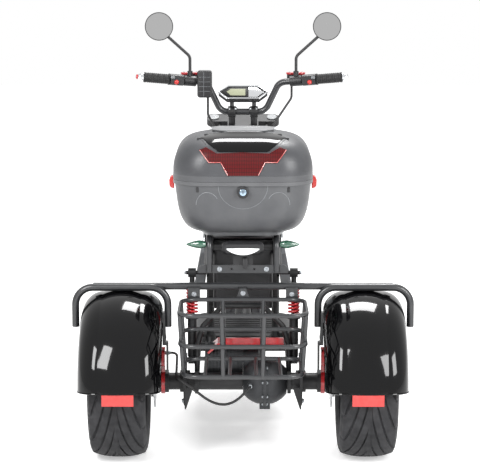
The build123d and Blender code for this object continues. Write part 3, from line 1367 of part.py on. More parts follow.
NODES = {
    "rear_tyre_left": lambda: mirror_x(REAR_WHEEL * tyre(REAR_TYRE_WIDTH)),
    "rear_tyre_right": lambda: REAR_WHEEL * tyre(REAR_TYRE_WIDTH),
    "rear_rim_left": lambda: mirror_x(rear_rim()),
    "rear_rim_right": rear_rim,
    "rear_disc_left": lambda: mirror_x(Pos(0, 0, AXLE_Z) * brake_disc(REAR_DISC_X)),
    "rear_disc_right": lambda: Pos(0, 0, AXLE_Z) * brake_disc(REAR_DISC_X),
    "front_tyre": lambda: FRONT_WHEEL * tyre(FRONT_TYRE_WIDTH),
    "front_rim": front_rim,
    "front_disc": lambda: Pos(*FRONT_AXLE) * brake_disc(FRONT_DISC_X),
    "rear_axle": rear_axle,
    "gear_case": gear_case,
    "motor": motor,
    "axle_hangers": axle_hangers,
    "swing_arm": swing_arm,
    "motor_saddle": motor_saddle,
    "shock_bodies": shock_bodies,
    "shock_springs": shock_springs,
    "fender_left": lambda: mirror_x(fender()),
    "fender_right": fender,
    "rear_guard": rear_guard,
    "rear_reflectors": rear_reflectors,
    "basket": basket,
    "calipers": calipers,
    "frame": frame,
    "deck": deck,
    "battery_case": battery_case,
    "seat": seat,
    "side_covers": side_covers,
    "topbox_tub": topbox_tub,
    "topbox_lid": topbox_lid,
    "topbox_reflector": topbox_reflector,
    "topbox_latches": topbox_latches,
    "topbox_lock": topbox_lock,
    "topbox_base": topbox_base,
    "tail_rack": tail_rack,
    "tail_lamp": tail_lamp,
    "tail_lens": tail_lens,
    "rear_signals": rear_signals,
    "fork_clamps": fork_clamps,
    "fork_legs": fork_legs,
    "fork_sliders": fork_sliders,
    "front_axle": front_axle,
    "front_fender": front_fender,
    "headlamp": headlamp,
    "headlamp_lens": headlamp_lens,
    "handlebar": handlebar,
    "grips": grips,
    "bar_ends": bar_ends,
    "switch_pods": switch_pods,
    "brake_masters": brake_masters,
    "master_caps": master_caps,
    "mirrors": mirrors,
    "mirror_glass": mirror_glass,
    "dash": dash,
    "dash_screen": dash_screen,
    "control_box": control_box,
    "control_cable_left": control_cable_left,
    "control_cable_right": control_cable_right,
    "brake_hose": brake_hose,
}


def main():
    os.makedirs("parts", exist_ok=True)
    for name, make in NODES.items():
        export_step(Pos(0, REAR_AXLE_Y, 0) * make(), f"parts/{name}.step")


main()
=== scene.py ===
from math import cos, exp, pi, radians, sin

import bpy
from mathutils import Matrix, Vector


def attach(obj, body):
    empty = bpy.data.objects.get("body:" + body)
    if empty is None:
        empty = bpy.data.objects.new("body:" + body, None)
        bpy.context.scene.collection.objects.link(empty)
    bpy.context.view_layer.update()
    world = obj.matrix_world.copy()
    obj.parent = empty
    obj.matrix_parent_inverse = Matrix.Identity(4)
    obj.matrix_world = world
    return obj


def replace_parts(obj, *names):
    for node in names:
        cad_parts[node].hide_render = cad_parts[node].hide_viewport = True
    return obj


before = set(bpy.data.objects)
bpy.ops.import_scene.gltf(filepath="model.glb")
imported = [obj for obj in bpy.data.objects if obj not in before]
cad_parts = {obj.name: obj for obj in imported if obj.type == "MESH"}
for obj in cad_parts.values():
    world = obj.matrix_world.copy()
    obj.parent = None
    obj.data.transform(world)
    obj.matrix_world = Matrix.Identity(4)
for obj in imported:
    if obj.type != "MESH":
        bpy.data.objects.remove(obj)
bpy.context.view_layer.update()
scene = bpy.context.scene

# Sizes and places shared with the solids: millimetres from the rear axle line, the ground and the middle
MM = 0.001
REAR_AXLE_Y = -610.75
WHEELBASE = 1300
AXLE_Z = 228
REAR_TYRE_X = 372
TYRE_RADIUS = 228
REAR_TYRE_WIDTH = 172
FRONT_TYRE_WIDTH = 136
BEAD_RADIUS = 127
RAKE = radians(26)
FORK_OFFSET = 40
BAR_ALONG = 844
BAR_ELBOW = Vector((124, -16, 102))
BAR_END = Vector((338, -56, 122))
BOX_MIDDLE_Y = 62
BOX_TOP_Z = 988
BOX_BAND_Z = 839
SHOCK_FOOT = Vector((155, 62, 282))
SHOCK_HEAD = Vector((155, 78, 548))
LEFT, RIGHT, BACK, FORWARD, UP = (-1, 0, 0), (1, 0, 0), (0, -1, 0), (0, 1, 0), (0, 0, 1)


def at(x, y, z):
    """A point of the object in metres, from millimetres measured at the rear axle line."""
    return Vector((x, y + REAR_AXLE_Y, z)) * MM


REAR_AXLE, FRONT_AXLE = at(0, 0, AXLE_Z), at(0, WHEELBASE, AXLE_Z)
AXIS_UP = Vector((0, -sin(RAKE), cos(RAKE)))
AXIS_FORWARD = Vector((0, cos(RAKE), sin(RAKE)))


def on_axis(along, forward=0, right=0):
    """A point measured along the steering axis from its foot, forward of it and to the right."""
    foot = FRONT_AXLE - AXIS_FORWARD * FORK_OFFSET * MM
    return foot + (AXIS_UP * along + AXIS_FORWARD * forward + Vector(RIGHT) * right) * MM


def on_bar(side, from_end):
    """A point on the handlebar's outer run, measured in from its end, and the way outwards."""
    sided = Vector((side, 1, 1))
    elbow, end = BAR_ELBOW * sided, BAR_END * sided
    outwards = (end - elbow).normalized()
    return on_axis(BAR_ALONG) + (end - outwards * from_end) * MM, outwards


# Colour and nodes

MIX_A, MIX_B, MIX_RESULT = 6, 7, 2  # the colour sockets of a Mix node, whose names repeat


def colour(code):
    """An sRGB hex colour as linear RGBA."""
    parts = [int(code[i : i + 2], 16) / 255 for i in (1, 3, 5)]
    return [p / 12.92 if p <= 0.04045 else ((p + 0.055) / 1.055) ** 2.4 for p in parts] + [1.0]


def feed(node, other, socket):
    """Links a node's first output to a socket of another node."""
    node.id_data.links.new(node.outputs[0], other.inputs[socket])


def add(tree, kind, **settings):
    """A node with its settings; a socket or a node, for its first output, is linked, and the rest is set."""
    node = tree.nodes.new("ShaderNode" + kind)
    for name, value in settings.items():
        if name == "ramp":
            while len(node.color_ramp.elements) < len(value):
                node.color_ramp.elements.new(1)
            for element, (stop, code) in zip(node.color_ramp.elements, value):
                element.position = stop
                element.color = colour(code)
        elif hasattr(node, name):
            setattr(node, name, value)
        elif isinstance(value, bpy.types.Node):
            feed(value, node, name.replace("_", " "))
        elif isinstance(value, bpy.types.NodeSocket):
            tree.links.new(value, node.inputs[name.replace("_", " ")])
        else:
            node.inputs[name.replace("_", " ")].default_value = value
    return node


def finish(name, base, roughness, **sockets):
    """A principled material; gives the material, its tree, its shader and the piece's own coordinates."""
    made = bpy.data.materials.new(name)
    made.use_nodes = True
    tree = made.node_tree
    shader = tree.nodes["Principled BSDF"]
    shader.inputs["Base Color"].default_value = colour(base)
    shader.inputs["Roughness"].default_value = roughness
    for socket, value in sockets.items():
        shader.inputs[socket.replace("_", " ")].default_value = value
    place = add(tree, "TexCoord").outputs["Object"]
    return made, tree, shader, place


# Finishes: the scale of a pattern is one over its size in metres, and 0.314 over it for waves


def tyre_rubber():
    # Vulcanised rubber: charcoal and matt, a little dusty, with a fine moulded grain
    made, tree, shader, place = finish("vulcanised_rubber", "#2b2b2d", 0.74, Specular_IOR_Level=0.3)
    dust = add(tree, "TexNoise", Vector=place, Scale=38.0, Detail=4.0)
    feed(add(tree, "ValToRGB", Fac=dust, ramp=[(0.3, "#222224"), (0.75, "#39393b")]), shader, "Base Color")
    pores = add(tree, "TexNoise", Vector=place, Scale=900.0, Detail=2.0)
    feed(add(tree, "Bump", Height=pores, Strength=0.35, Distance=0.0005), shader, "Normal")
    return made


def gloss_black():
    # Sprayed gloss black under clear lacquer: near black, with a faint orange peel about 4 mm across
    made, tree, shader, place = finish(
        "lacquered_black_abs", "#040405", 0.14, Specular_IOR_Level=0.08, Coat_Weight=0.42, Coat_Roughness=0.02
    )
    peel = add(tree, "TexNoise", Vector=place, Scale=250.0, Detail=1.0)
    feed(add(tree, "Bump", Height=peel, Strength=0.06, Distance=0.0004), shader, "Coat Normal")
    drift = add(tree, "TexNoise", Vector=place, Scale=9.0, Detail=3.0)
    feed(add(tree, "MapRange", Value=drift, To_Min=0.08, To_Max=0.14), shader, "Roughness")
    return made


def powder_coat():
    # Satin black powder coat on steel tube: a soft sheen over a grain about 1.5 mm across
    made, tree, shader, place = finish("powder_coated_steel", "#28292b", 0.32, Specular_IOR_Level=0.6)
    peel = add(tree, "TexNoise", Vector=place, Scale=650.0, Detail=2.0)
    feed(add(tree, "Bump", Height=peel, Strength=0.18, Distance=0.0004), shader, "Normal")
    drift = add(tree, "TexNoise", Vector=place, Scale=25.0, Detail=3.0)
    feed(add(tree, "MapRange", Value=drift, To_Min=0.24, To_Max=0.4), shader, "Roughness")
    return made


def chassis_black():
    # Black chassis paint, a shade darker and flatter than the powder coat, with a dusty drift
    made, tree, shader, place = finish("black_chassis_paint", "#141416", 0.5, Specular_IOR_Level=0.4)
    drift = add(tree, "TexNoise", Vector=place, Scale=30.0, Detail=4.0)
    feed(add(tree, "ValToRGB", Fac=drift, ramp=[(0.35, "#0f0f10"), (0.8, "#232325")]), shader, "Base Color")
    peel = add(tree, "TexNoise", Vector=place, Scale=600.0, Detail=2.0)
    feed(add(tree, "Bump", Height=peel, Strength=0.2, Distance=0.0004), shader, "Normal")
    return made


def red_enamel():
    # Bright red enamel on cast and stamped parts, slightly uneven in the film
    made, tree, shader, place = finish("red_enamel", "#b3121b", 0.3, Coat_Weight=0.5, Coat_Roughness=0.08)
    film = add(tree, "TexNoise", Vector=place, Scale=60.0, Detail=3.0)
    feed(add(tree, "ValToRGB", Fac=film, ramp=[(0.3, "#a00d16"), (0.75, "#c81c24")]), shader, "Base Color")
    return made


def red_reflector():
    # Deep red acrylic over upright prisms 5 mm apart, crossed by faint level ones, which show as dark ribs
    made, tree, shader, place = finish("red_reflector_acrylic", "#540609", 0.35, Specular_IOR_Level=0.25)
    upright = add(tree, "Mapping", Vector=place, Rotation=(radians(90), 0, 0))
    cells = add(
        tree,
        "TexBrick",
        offset=0.0,
        Vector=upright,
        Scale=1.0,
        Brick_Width=0.005,
        Row_Height=0.011,
        Mortar_Size=0.0007,
    )
    shade = add(tree, "ValToRGB", Fac=cells.outputs["Fac"], ramp=[(0.0, "#540609"), (1.0, "#240203")])
    feed(shade, shader, "Base Color")
    feed(add(tree, "Bump", Height=cells.outputs["Fac"], Strength=0.15, Distance=0.0004), shader, "Normal")
    return made


def red_marker():
    # Red marker plates, latches and buttons in glossy dyed plastic
    made, tree, shader, place = finish(
        "red_moulded_plastic", "#c42f2b", 0.32, Coat_Weight=0.3, Coat_Roughness=0.1
    )
    drift = add(tree, "TexNoise", Vector=place, Scale=90.0, Detail=2.0)
    feed(add(tree, "ValToRGB", Fac=drift, ramp=[(0.3, "#b82a26"), (0.75, "#cf3833")]), shader, "Base Color")
    return made


def box_abs(name, dark, light):
    # Dark grey ABS, spark-eroded grain about 1.2 mm across; the rim band, 28 mm high, is a little paler
    low = BOX_BAND_Z * MM
    made, tree, shader, place = finish(name, dark, 0.4, Specular_IOR_Level=0.5)
    pebble = add(tree, "TexVoronoi", Vector=place, Scale=800.0)
    feed(add(tree, "Bump", Height=pebble, Strength=0.22, Distance=0.0005), shader, "Normal")
    drift = add(tree, "TexNoise", Vector=place, Scale=14.0, Detail=3.0)
    shade = add(tree, "ValToRGB", Fac=drift, ramp=[(0.3, dark), (0.75, light)])
    split = add(tree, "SeparateXYZ", Vector=place)
    level = add(tree, "MapRange", Value=split.outputs["Z"], From_Min=low - 0.004, From_Max=low + 0.036)
    band = add(tree, "ValToRGB", Fac=level, ramp=[(0.0, "#000000"), (0.1, "#ffffff"), (0.81, "#000000")])
    band.color_ramp.interpolation = "CONSTANT"
    paler = add(tree, "Mix", data_type="RGBA", blend_type="SCREEN")
    paler.inputs["Factor"].default_value = 0.025
    tree.links.new(shade.outputs["Color"], paler.inputs[MIX_A])
    tree.links.new(band.outputs["Color"], paler.inputs[MIX_B])
    tree.links.new(paler.outputs[MIX_RESULT], shader.inputs["Base Color"])
    return made


def black_abs():
    # Satin black ABS of the housings and switch pods
    made, tree, shader, place = finish("satin_black_abs", "#19191b", 0.42)
    pebble = add(tree, "TexNoise", Vector=place, Scale=1100.0, Detail=2.0)
    feed(add(tree, "Bump", Height=pebble, Strength=0.22, Distance=0.0004), shader, "Normal")
    drift = add(tree, "TexNoise", Vector=place, Scale=40.0, Detail=3.0)
    feed(add(tree, "MapRange", Value=drift, To_Min=0.34, To_Max=0.52), shader, "Roughness")
    return made


def grey_abs():
    # Mid grey moulded side panels, satin, with a soft paint drift
    made, tree, shader, place = finish("satin_grey_abs", "#707376", 0.35, Coat_Weight=0.2, Coat_Roughness=0.2)
    drift = add(tree, "TexNoise", Vector=place, Scale=20.0, Detail=3.0)
    feed(add(tree, "ValToRGB", Fac=drift, ramp=[(0.3, "#696c6f"), (0.75, "#787b7e")]), shader, "Base Color")
    return made


def cast_aluminium():
    # Dark cast aluminium of the gear case and motor: sandy and slightly oily
    made, tree, shader, place = finish("sand_cast_aluminium", "#3a3b3d", 0.5, Metallic=0.7)
    sand = add(tree, "TexNoise", Vector=place, Scale=420.0, Detail=4.0)
    feed(add(tree, "Bump", Height=sand, Strength=0.5, Distance=0.0006), shader, "Normal")
    oil = add(tree, "TexNoise", Vector=place, Scale=22.0, Detail=4.0)
    feed(add(tree, "MapRange", Value=oil, To_Min=0.32, To_Max=0.65), shader, "Roughness")
    return made


def chrome_plate():
    # Bright chrome on fork tubes, rims and small caps, with a faint polishing haze
    made, tree, shader, place = finish("chrome_plate", "#d8dadc", 0.08, Metallic=1.0)
    haze = add(tree, "TexNoise", Vector=place, Scale=120.0, Detail=3.0)
    feed(add(tree, "MapRange", Value=haze, To_Min=0.05, To_Max=0.14), shader, "Roughness")
    return made


def zinc_plate():
    # Zinc-plated bolt heads: dull and bluish, mottled by the plating in spots about 3 mm across
    made, tree, shader, place = finish("zinc_plated_steel", "#9b9fa3", 0.36, Metallic=1.0)
    spots = add(tree, "TexNoise", Vector=place, Scale=330.0, Detail=2.0)
    feed(add(tree, "ValToRGB", Fac=spots, ramp=[(0.3, "#84888c"), (0.7, "#aeb2b6")]), shader, "Base Color")
    feed(add(tree, "MapRange", Value=spots, To_Min=0.28, To_Max=0.45), shader, "Roughness")
    return made


def ground_steel():
    # Ground brake steel: fine rings round the wheel's axis, about 1 mm apart
    made, tree, shader, place = finish("ground_brake_steel", "#a9abad", 0.3, Metallic=1.0)
    split = add(tree, "SeparateXYZ", Vector=place)
    flat = add(tree, "CombineXYZ", X=split.outputs["Y"], Y=split.outputs["Z"])
    rings = add(tree, "TexWave", Vector=flat, Scale=330.0, Distortion=0.4, wave_type="RINGS")
    feed(add(tree, "MapRange", Value=rings.outputs["Fac"], To_Min=0.22, To_Max=0.42), shader, "Roughness")
    return made


def rim_paint(name, axle):
    # Black painted alloy with the outer lip turned bright: the bare band starts just outside the bead
    lip = (BEAD_RADIUS + 1.5) * MM
    made, tree, shader, place = finish(name, "#0e0e10", 0.25, Coat_Weight=0.4, Coat_Roughness=0.06)
    across = add(tree, "Mapping", Vector=place, Location=(0, -axle.y, -axle.z), Scale=(0, 1, 1))
    reach = add(tree, "VectorMath", operation="LENGTH", Vector=across)
    bare = add(tree, "MapRange", Value=reach.outputs["Value"], From_Min=lip, From_Max=lip + 0.7 * MM)
    feed(add(tree, "ValToRGB", Fac=bare, ramp=[(0.0, "#0e0e10"), (1.0, "#b9bbbd")]), shader, "Base Color")
    feed(bare, shader, "Metallic")
    return made


def seat_vinyl():
    # Grained black vinyl: creased cells about 3 mm across with a dull sheen
    made, tree, shader, place = finish("grained_black_vinyl", "#151516", 0.5, Sheen_Weight=0.1)
    cells = add(tree, "TexVoronoi", Vector=place, Scale=330.0, feature="DISTANCE_TO_EDGE")
    crease = add(tree, "MapRange", Value=cells.outputs["Distance"], From_Max=0.12)
    feed(add(tree, "Bump", Height=crease, Strength=0.4, Distance=0.0006), shader, "Normal")
    drift = add(tree, "TexNoise", Vector=place, Scale=18.0, Detail=3.0)
    feed(add(tree, "MapRange", Value=drift, To_Min=0.42, To_Max=0.6), shader, "Roughness")
    return made


def grip_rubber():
    # Soft black grip rubber with fine ribs round the bar every 5 mm
    made, tree, shader, place = finish("ribbed_grip_rubber", "#131314", 0.64)
    ribs = add(tree, "TexWave", Vector=place, Scale=62.0, bands_direction="X")
    feed(add(tree, "Bump", Height=ribs.outputs["Fac"], Strength=0.6, Distance=0.0012), shader, "Normal")
    return made


def hose_rubber():
    # Black EPDM hose, whose ply shows through as an uneven surface about 3 mm across
    made, tree, shader, place = finish("ply_hose_rubber", "#121213", 0.5)
    ply = add(tree, "TexNoise", Vector=place, Scale=330.0, Detail=2.0)
    feed(add(tree, "Bump", Height=ply, Strength=0.3, Distance=0.0005), shader, "Normal")
    return made


def cap_grey():
    # Light grey satin ABS of the lid's cap and the box's base, with a faint mould drift
    made, tree, shader, place = finish("satin_light_grey_abs", "#6e6f71", 0.38)
    drift = add(tree, "TexNoise", Vector=place, Scale=30.0, Detail=3.0)
    feed(add(tree, "ValToRGB", Fac=drift, ramp=[(0.3, "#67686a"), (0.75, "#757678")]), shader, "Base Color")
    return made


def painted_edge_highlight():
    # Painted highlight along the reflector's polished acrylic edge: a pale pink colour for the light it
    # gathers
    made, tree, shader, place = finish(
        "acrylic_edge_painted_highlight", "#d98a86", 0.2, Coat_Weight=0.5, Coat_Roughness=0.05
    )
    drift = add(tree, "TexNoise", Vector=place, Scale=45.0, Detail=2.0)
    feed(add(tree, "ValToRGB", Fac=drift, ramp=[(0.35, "#b9423f"), (0.7, "#efb6b0")]), shader, "Base Color")
    return made


def blued_steel():
    # The lock's key face: turned steel with a cold blue sheen
    made, tree, shader, place = finish("blued_lock_steel", "#93a5b4", 0.22, Metallic=1.0)
    haze = add(tree, "TexNoise", Vector=place, Scale=200.0, Detail=2.0)
    feed(add(tree, "MapRange", Value=haze, To_Min=0.15, To_Max=0.3), shader, "Roughness")
    return made


def crystal_olive():
    # Unlit liquid crystal: olive grey, with the faint rows of its segments every 4 mm
    made, tree, shader, place = finish("olive_liquid_crystal", "#8d9078", 0.55, Specular_IOR_Level=0.15)
    rows = add(tree, "TexWave", Vector=place, Scale=78.0, bands_direction="X")
    shade = add(tree, "ValToRGB", Fac=rows.outputs["Fac"], ramp=[(0.0, "#83866f"), (1.0, "#959880")])
    feed(shade, shader, "Base Color")
    return made


def mirror_silver():
    # Chromed anti-glare mirror glass: it gives back about half of the light, with a faint haze
    made, tree, shader, place = finish("chromed_mirror_glass", "#b4b4b4", 0.04, Metallic=1.0)
    haze = add(tree, "TexNoise", Vector=place, Scale=60.0, Detail=2.0)
    feed(add(tree, "MapRange", Value=haze, To_Min=0.03, To_Max=0.08), shader, "Roughness")
    return made


def lamp_glass():
    # Frosted white lamp cover, fluted every 6 mm
    made, tree, shader, place = finish(
        "fluted_lamp_acrylic", "#f1f3f3", 0.15, Coat_Weight=0.6, Coat_Roughness=0.05
    )
    flutes = add(tree, "TexWave", Vector=place, Scale=52.0, bands_direction="X")
    feed(add(tree, "Bump", Height=flutes.outputs["Fac"], Strength=0.25, Distance=0.0008), shader, "Normal")
    return made


def signal_smoke():
    # Dark green smoked acrylic of the turn signals, fluted every 3.5 mm
    made, tree, shader, place = finish(
        "smoked_green_acrylic", "#2f5a48", 0.14, Coat_Weight=1.0, Coat_Roughness=0.03
    )
    flutes = add(tree, "TexWave", Vector=place, Scale=90.0, bands_direction="Z")
    shade = add(tree, "ValToRGB", Fac=flutes.outputs["Fac"], ramp=[(0.0, "#1d3a2f"), (1.0, "#3c7059")])
    feed(shade, shader, "Base Color")
    return made


def display_glass():
    # Black mask behind the display's matt cover, with a faint smudge in its sheen
    made, tree, shader, place = finish("black_display_mask", "#0b0c0c", 0.45, Specular_IOR_Level=0.2)
    smudge = add(tree, "TexNoise", Vector=place, Scale=45.0, Detail=3.0)
    feed(add(tree, "MapRange", Value=smudge, To_Min=0.38, To_Max=0.55), shader, "Roughness")
    return made


RUBBER, GLOSS, POWDER, CHASSIS = tyre_rubber(), gloss_black(), powder_coat(), chassis_black()
RED, REFLECTOR, MARKER = red_enamel(), red_reflector(), red_marker()
# The lid and the tub are one grey ABS; the lid's darker copy of it is painted shade.
SHADED_LID = box_abs("grained_lid_abs_painted_shade", "#36373a", "#434447")
TUB = box_abs("grained_tub_abs", "#424346", "#505153")
BLACK, GREY, CAST = black_abs(), grey_abs(), cast_aluminium()
CHROME, ZINC, DISC = chrome_plate(), zinc_plate(), ground_steel()
VINYL, GRIP = seat_vinyl(), grip_rubber()
HOSE, CAP, EDGE_HIGHLIGHT, BLUED, CRYSTAL = hose_rubber(), cap_grey(), painted_edge_highlight(), blued_steel(), crystal_olive()
MIRROR, LAMP, SMOKE, DISPLAY = mirror_silver(), lamp_glass(), signal_smoke(), display_glass()
REAR_RIM, FRONT_RIM = rim_paint("painted_rear_alloy", REAR_AXLE), rim_paint("painted_front_alloy", FRONT_AXLE)

NODE_FINISH = [
    (CHASSIS, "frame rear_axle axle_hangers swing_arm shock_bodies fork_clamps fork_sliders"),
    (POWDER, "rear_guard basket tail_rack handlebar"),
    (BLACK, "deck battery_case tail_lamp topbox_lock headlamp switch_pods"),
    (BLACK, "brake_masters mirrors dash control_box"),
    (GLOSS, "fender_left fender_right front_fender"),
    (RED, "motor_saddle shock_springs calipers master_caps"),
    (MARKER, "rear_reflectors topbox_latches"),
    (REFLECTOR, "topbox_reflector"),
    (SHADED_LID, "topbox_lid"),
    (TUB, "topbox_tub"),
    (CAP, "topbox_base"),
    (GREY, "side_covers"),
    (CAST, "gear_case motor"),
    (CHROME, "fork_legs front_axle bar_ends"),
    (VINYL, "seat"),
    (GRIP, "grips"),
    (HOSE, "brake_hose control_cable_left control_cable_right"),
    (MIRROR, "mirror_glass"),
    (LAMP, "tail_lens headlamp_lens"),
    (SMOKE, "rear_signals"),
    (DISPLAY, "dash_screen"),
    (RUBBER, "front_tyre rear_tyre_left rear_tyre_right"),
    (FRONT_RIM, "front_rim"),
    (REAR_RIM, "rear_rim_left rear_rim_right"),
    (DISC, "front_disc rear_disc_left rear_disc_right"),
]

for made, names in NODE_FINISH:
    for name in names.split():
        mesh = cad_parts[name].data
        mesh.materials.clear()
        mesh.materials.append(made)


# Modelling


def take(*pieces):
    """Selects these pieces alone and makes the first the active one."""
    bpy.ops.object.select_all(action="DESELECT")
    for piece in pieces:
        piece.select_set(True)
    bpy.context.view_layer.objects.active = pieces[0]


def settle(obj, body, made, angle=35):
    """Puts a finished piece's place into its mesh, shades it, gives it its finish and lets it ride."""
    take(obj)
    bpy.ops.object.transform_apply(location=True, rotation=True, scale=True)
    bpy.ops.object.shade_smooth_by_angle(angle=radians(angle))
    obj.data.materials.clear()
    obj.data.materials.append(made)
    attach(obj, body)
    return obj


def apply_modifiers(obj):
    bpy.context.view_layer.objects.active = obj
    for modifier in list(obj.modifiers):
        bpy.ops.object.modifier_apply(modifier=modifier.name)


def leave_edit():
    """Turns every face outwards and leaves edit mode."""
    bpy.ops.mesh.select_all(action="SELECT")
    bpy.ops.mesh.normals_make_consistent(inside=False)
    bpy.ops.object.mode_set(mode="OBJECT")


def chain(name, points):
    """A line of edges through points, drawn vertex by vertex and left in edit mode, all selected."""
    bpy.ops.mesh.primitive_plane_add(size=0.01, location=(0, 0, 0))
    obj = bpy.context.object
    obj.name = name
    bpy.ops.object.mode_set(mode="EDIT")
    bpy.ops.mesh.merge(type="CENTER")
    bpy.ops.transform.translate(value=points[0])
    for start, end in zip(points, points[1:]):
        bpy.ops.mesh.extrude_vertices_move(TRANSFORM_OT_translate={"value": end - start})
    bpy.ops.mesh.select_all(action="SELECT")
    return obj


def turned(name, profile, centre, steps):
    """Spins an (x, radius) outline in millimetres about the sideways axis through a point."""
    obj = chain(name, [Vector((x, r, 0)) * MM for x, r in profile])
    bpy.ops.mesh.spin(steps=steps, angle=2 * pi, center=(0, 0, 0), axis=RIGHT)
    bpy.ops.mesh.select_all(action="SELECT")
    bpy.ops.mesh.remove_doubles(threshold=1e-5)
    leave_edit()
    obj.location = centre
    return obj


def lathe(name, profile, place, along, body, made, steps=40):
    """An (along, radius) outline in millimetres turned about an axis through a point."""
    obj = turned(name, profile, place, steps)
    obj.rotation_euler = Vector(along).to_track_quat("X", "Z").to_euler()
    return settle(obj, body, made)


def wire(name, points, radius, body, made, closed=False):
    """A round strip along points: the line is made a curve, thickened and made a mesh again."""
    obj = chain(name, points)
    if closed:
        bpy.ops.mesh.edge_face_add()
        bpy.ops.mesh.delete(type="ONLY_FACE")
    bpy.ops.object.mode_set(mode="OBJECT")
    bpy.ops.object.convert(target="CURVE")
    obj.data.bevel_depth = radius * MM
    obj.data.bevel_resolution = 2
    obj.data.use_fill_caps = True
    bpy.ops.object.convert(target="MESH")
    return settle(obj, body, made)


def plate(name, outline, place, right, facing, thick, body, made, edge=1.0):
    """A flat outline in millimetres, filled, raised towards where it faces and rounded along its rim."""
    obj = chain(name, [Vector((u, v, 0)) * MM for u, v in outline])
    bpy.ops.mesh.edge_face_add()
    bpy.ops.mesh.extrude_region_move(TRANSFORM_OT_translate={"value": (0, 0, thick * MM)})
    leave_edit()
    rim = obj.modifiers.new("rim", "BEVEL")
    rim.width, rim.segments, rim.limit_method = edge * MM, 3, "ANGLE"
    rim.angle_limit = radians(50)
    apply_modifiers(obj)
    right, facing = Vector(right).normalized(), Vector(facing).normalized()
    turn = Matrix((right, facing.cross(right), facing)).transposed()
    obj.matrix_world = Matrix.Translation(place) @ turn.to_4x4()
    return settle(obj, body, made)


def joined(name, pieces):
    """One piece out of several that ride the same body."""
    take(*pieces)
    bpy.ops.object.join()
    pieces[0].name = name
    return pieces[0]


def copied(obj):
    """A copy with its own mesh."""
    other = obj.copy()
    other.data = obj.data.copy()
    scene.collection.objects.link(other)
    return other


def mirrored(obj, name):
    """A copy on the other side of the vehicle."""
    other = copied(obj)
    other.name = name
    take(other)
    other.scale.x = -1
    bpy.ops.object.transform_apply(location=True, rotation=True, scale=True)
    bpy.ops.object.mode_set(mode="EDIT")
    leave_edit()
    return other


def stood(place, along):
    """The matrix that stands a piece at a point, with its Z axis along a direction."""
    return Matrix.Translation(place) @ Vector(along).to_track_quat("Z", "Y").to_matrix().to_4x4()


def bolts(name, places, radius, body, made):
    """Hexagon heads on washers: one is modelled and copied to each place, facing its way."""
    heads = []
    for sides, wide, low, high in ((24, 1.5, 0, 0.3), (6, 1.0, 0.3, 1.05)):
        bpy.ops.mesh.primitive_cylinder_add(
            vertices=sides, radius=wide * radius * MM, depth=(high - low) * radius * MM, location=(0, 0, 0)
        )
        part = bpy.context.object
        part.location.z = (low + high) / 2 * radius * MM
        worn = part.modifiers.new("worn", "BEVEL")
        worn.width, worn.segments = 0.1 * radius * MM, 2
        apply_modifiers(part)
        bpy.ops.object.transform_apply(location=True, rotation=True, scale=True)
        heads.append(part)
    head = joined(name, heads)
    copies = []
    for place, facing in places:
        copy = copied(head)
        copy.matrix_world = stood(place, facing)
        copies.append(copy)
    bpy.data.objects.remove(head)
    settle(joined(name, copies), body, made, 30)


def onto(node, start, way):
    """Where a ray meets a solid."""
    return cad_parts[node].ray_cast(start, Vector(way))[1]


def span(node, side=0):
    """Two corners of the box round a solid, or round its left or right half."""
    points = [v.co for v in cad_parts[node].data.vertices if v.co.x * side >= 0]
    return tuple(Vector([pick(p[i] for p in points) for i in range(3)]) for pick in (min, max))


def arc(centre, radius, start, end, steps):
    """Points of an arc in (u, v), by angles in degrees."""
    turns = [radians(start + (end - start) * i / steps) for i in range(steps + 1)]
    return [(centre[0] + radius * cos(t), centre[1] + radius * sin(t)) for t in turns]


def rounded(half_u, half_v, corner):
    """The outline of a rounded rectangle about the middle."""
    points = []
    for u, v, start in ((1, 1, 0), (-1, 1, 90), (-1, -1, 180), (1, -1, 270)):
        points += arc((u * (half_u - corner), v * (half_v - corner)), corner, start, start + 90, 5)
    return points


def dense(points, step):
    """The same line with points no further apart than about a step."""
    made = []
    for start, end in zip(points, points[1:]):
        count = max(1, round((Vector(end) - Vector(start)).length / step))
        made += [tuple(Vector(start).lerp(Vector(end), i / count)) for i in range(count)]
    return made + [points[-1]]


def eased(points, rounds):
    """The same line with its corners cut again and again, which leaves a smooth curve between its ends."""
    for _ in range(rounds):
        cut = [points[0]]
        for start, end in zip(points, points[1:]):
            cut += [start.lerp(end, 0.25), start.lerp(end, 0.75)]
        points = cut + [points[-1]]
    return points


# Tyres: long tread grooves leave the middle, drift out to the shoulder and end there in a short notch.
# Lengths are in millimetres; how far out a point lies is a share of the tyre's half width.

CROWN_CLEARANCE = 0.5
CROWN_DROP = 17
CROWN_CURVE = 2.6
CROWN_STEPS = 23
CROWN_STEP = 0.041
SIDEWALL = [(0.965, 0.76), (0.99, 0.66), (0.997, 0.54), (0.985, 0.42), (0.945, 0.3), (0.875, 0.19)]
BEAD_SEAT = [(23.5, 11.615), (29, 9.5), (31, 0.6)]
GROOVE_DEPTH = 5
GROOVE_ALONG = 17
NOTCH_ALONG = 5
WALL_ALONG = 4
GROOVE_START, GROOVE_END = 0.05, 0.84
GROOVE_FADE = 12
TREAD_BAND = 30
SWEEP = radians(78)
SWEEP_EASE = 0.25
TREAD_PITCHES = 14
LAND_COLUMNS = 8
COLUMNS = LAND_COLUMNS + 3


def tyre_outline(width):
    """Half of the tyre's section as (x, radius): over the crown, down the sidewall and in to the bead."""
    half, height = width / 2, TYRE_RADIUS - BEAD_RADIUS
    shares = [step * CROWN_STEP for step in range(CROWN_STEPS)]
    points = [(half * s, TYRE_RADIUS - CROWN_CLEARANCE - CROWN_DROP * s**CROWN_CURVE) for s in shares]
    points += [(half * out, BEAD_RADIUS + height * up) for out, up in SIDEWALL]
    points += [(half - inwards, BEAD_RADIUS + up) for inwards, up in BEAD_SEAT]
    return points


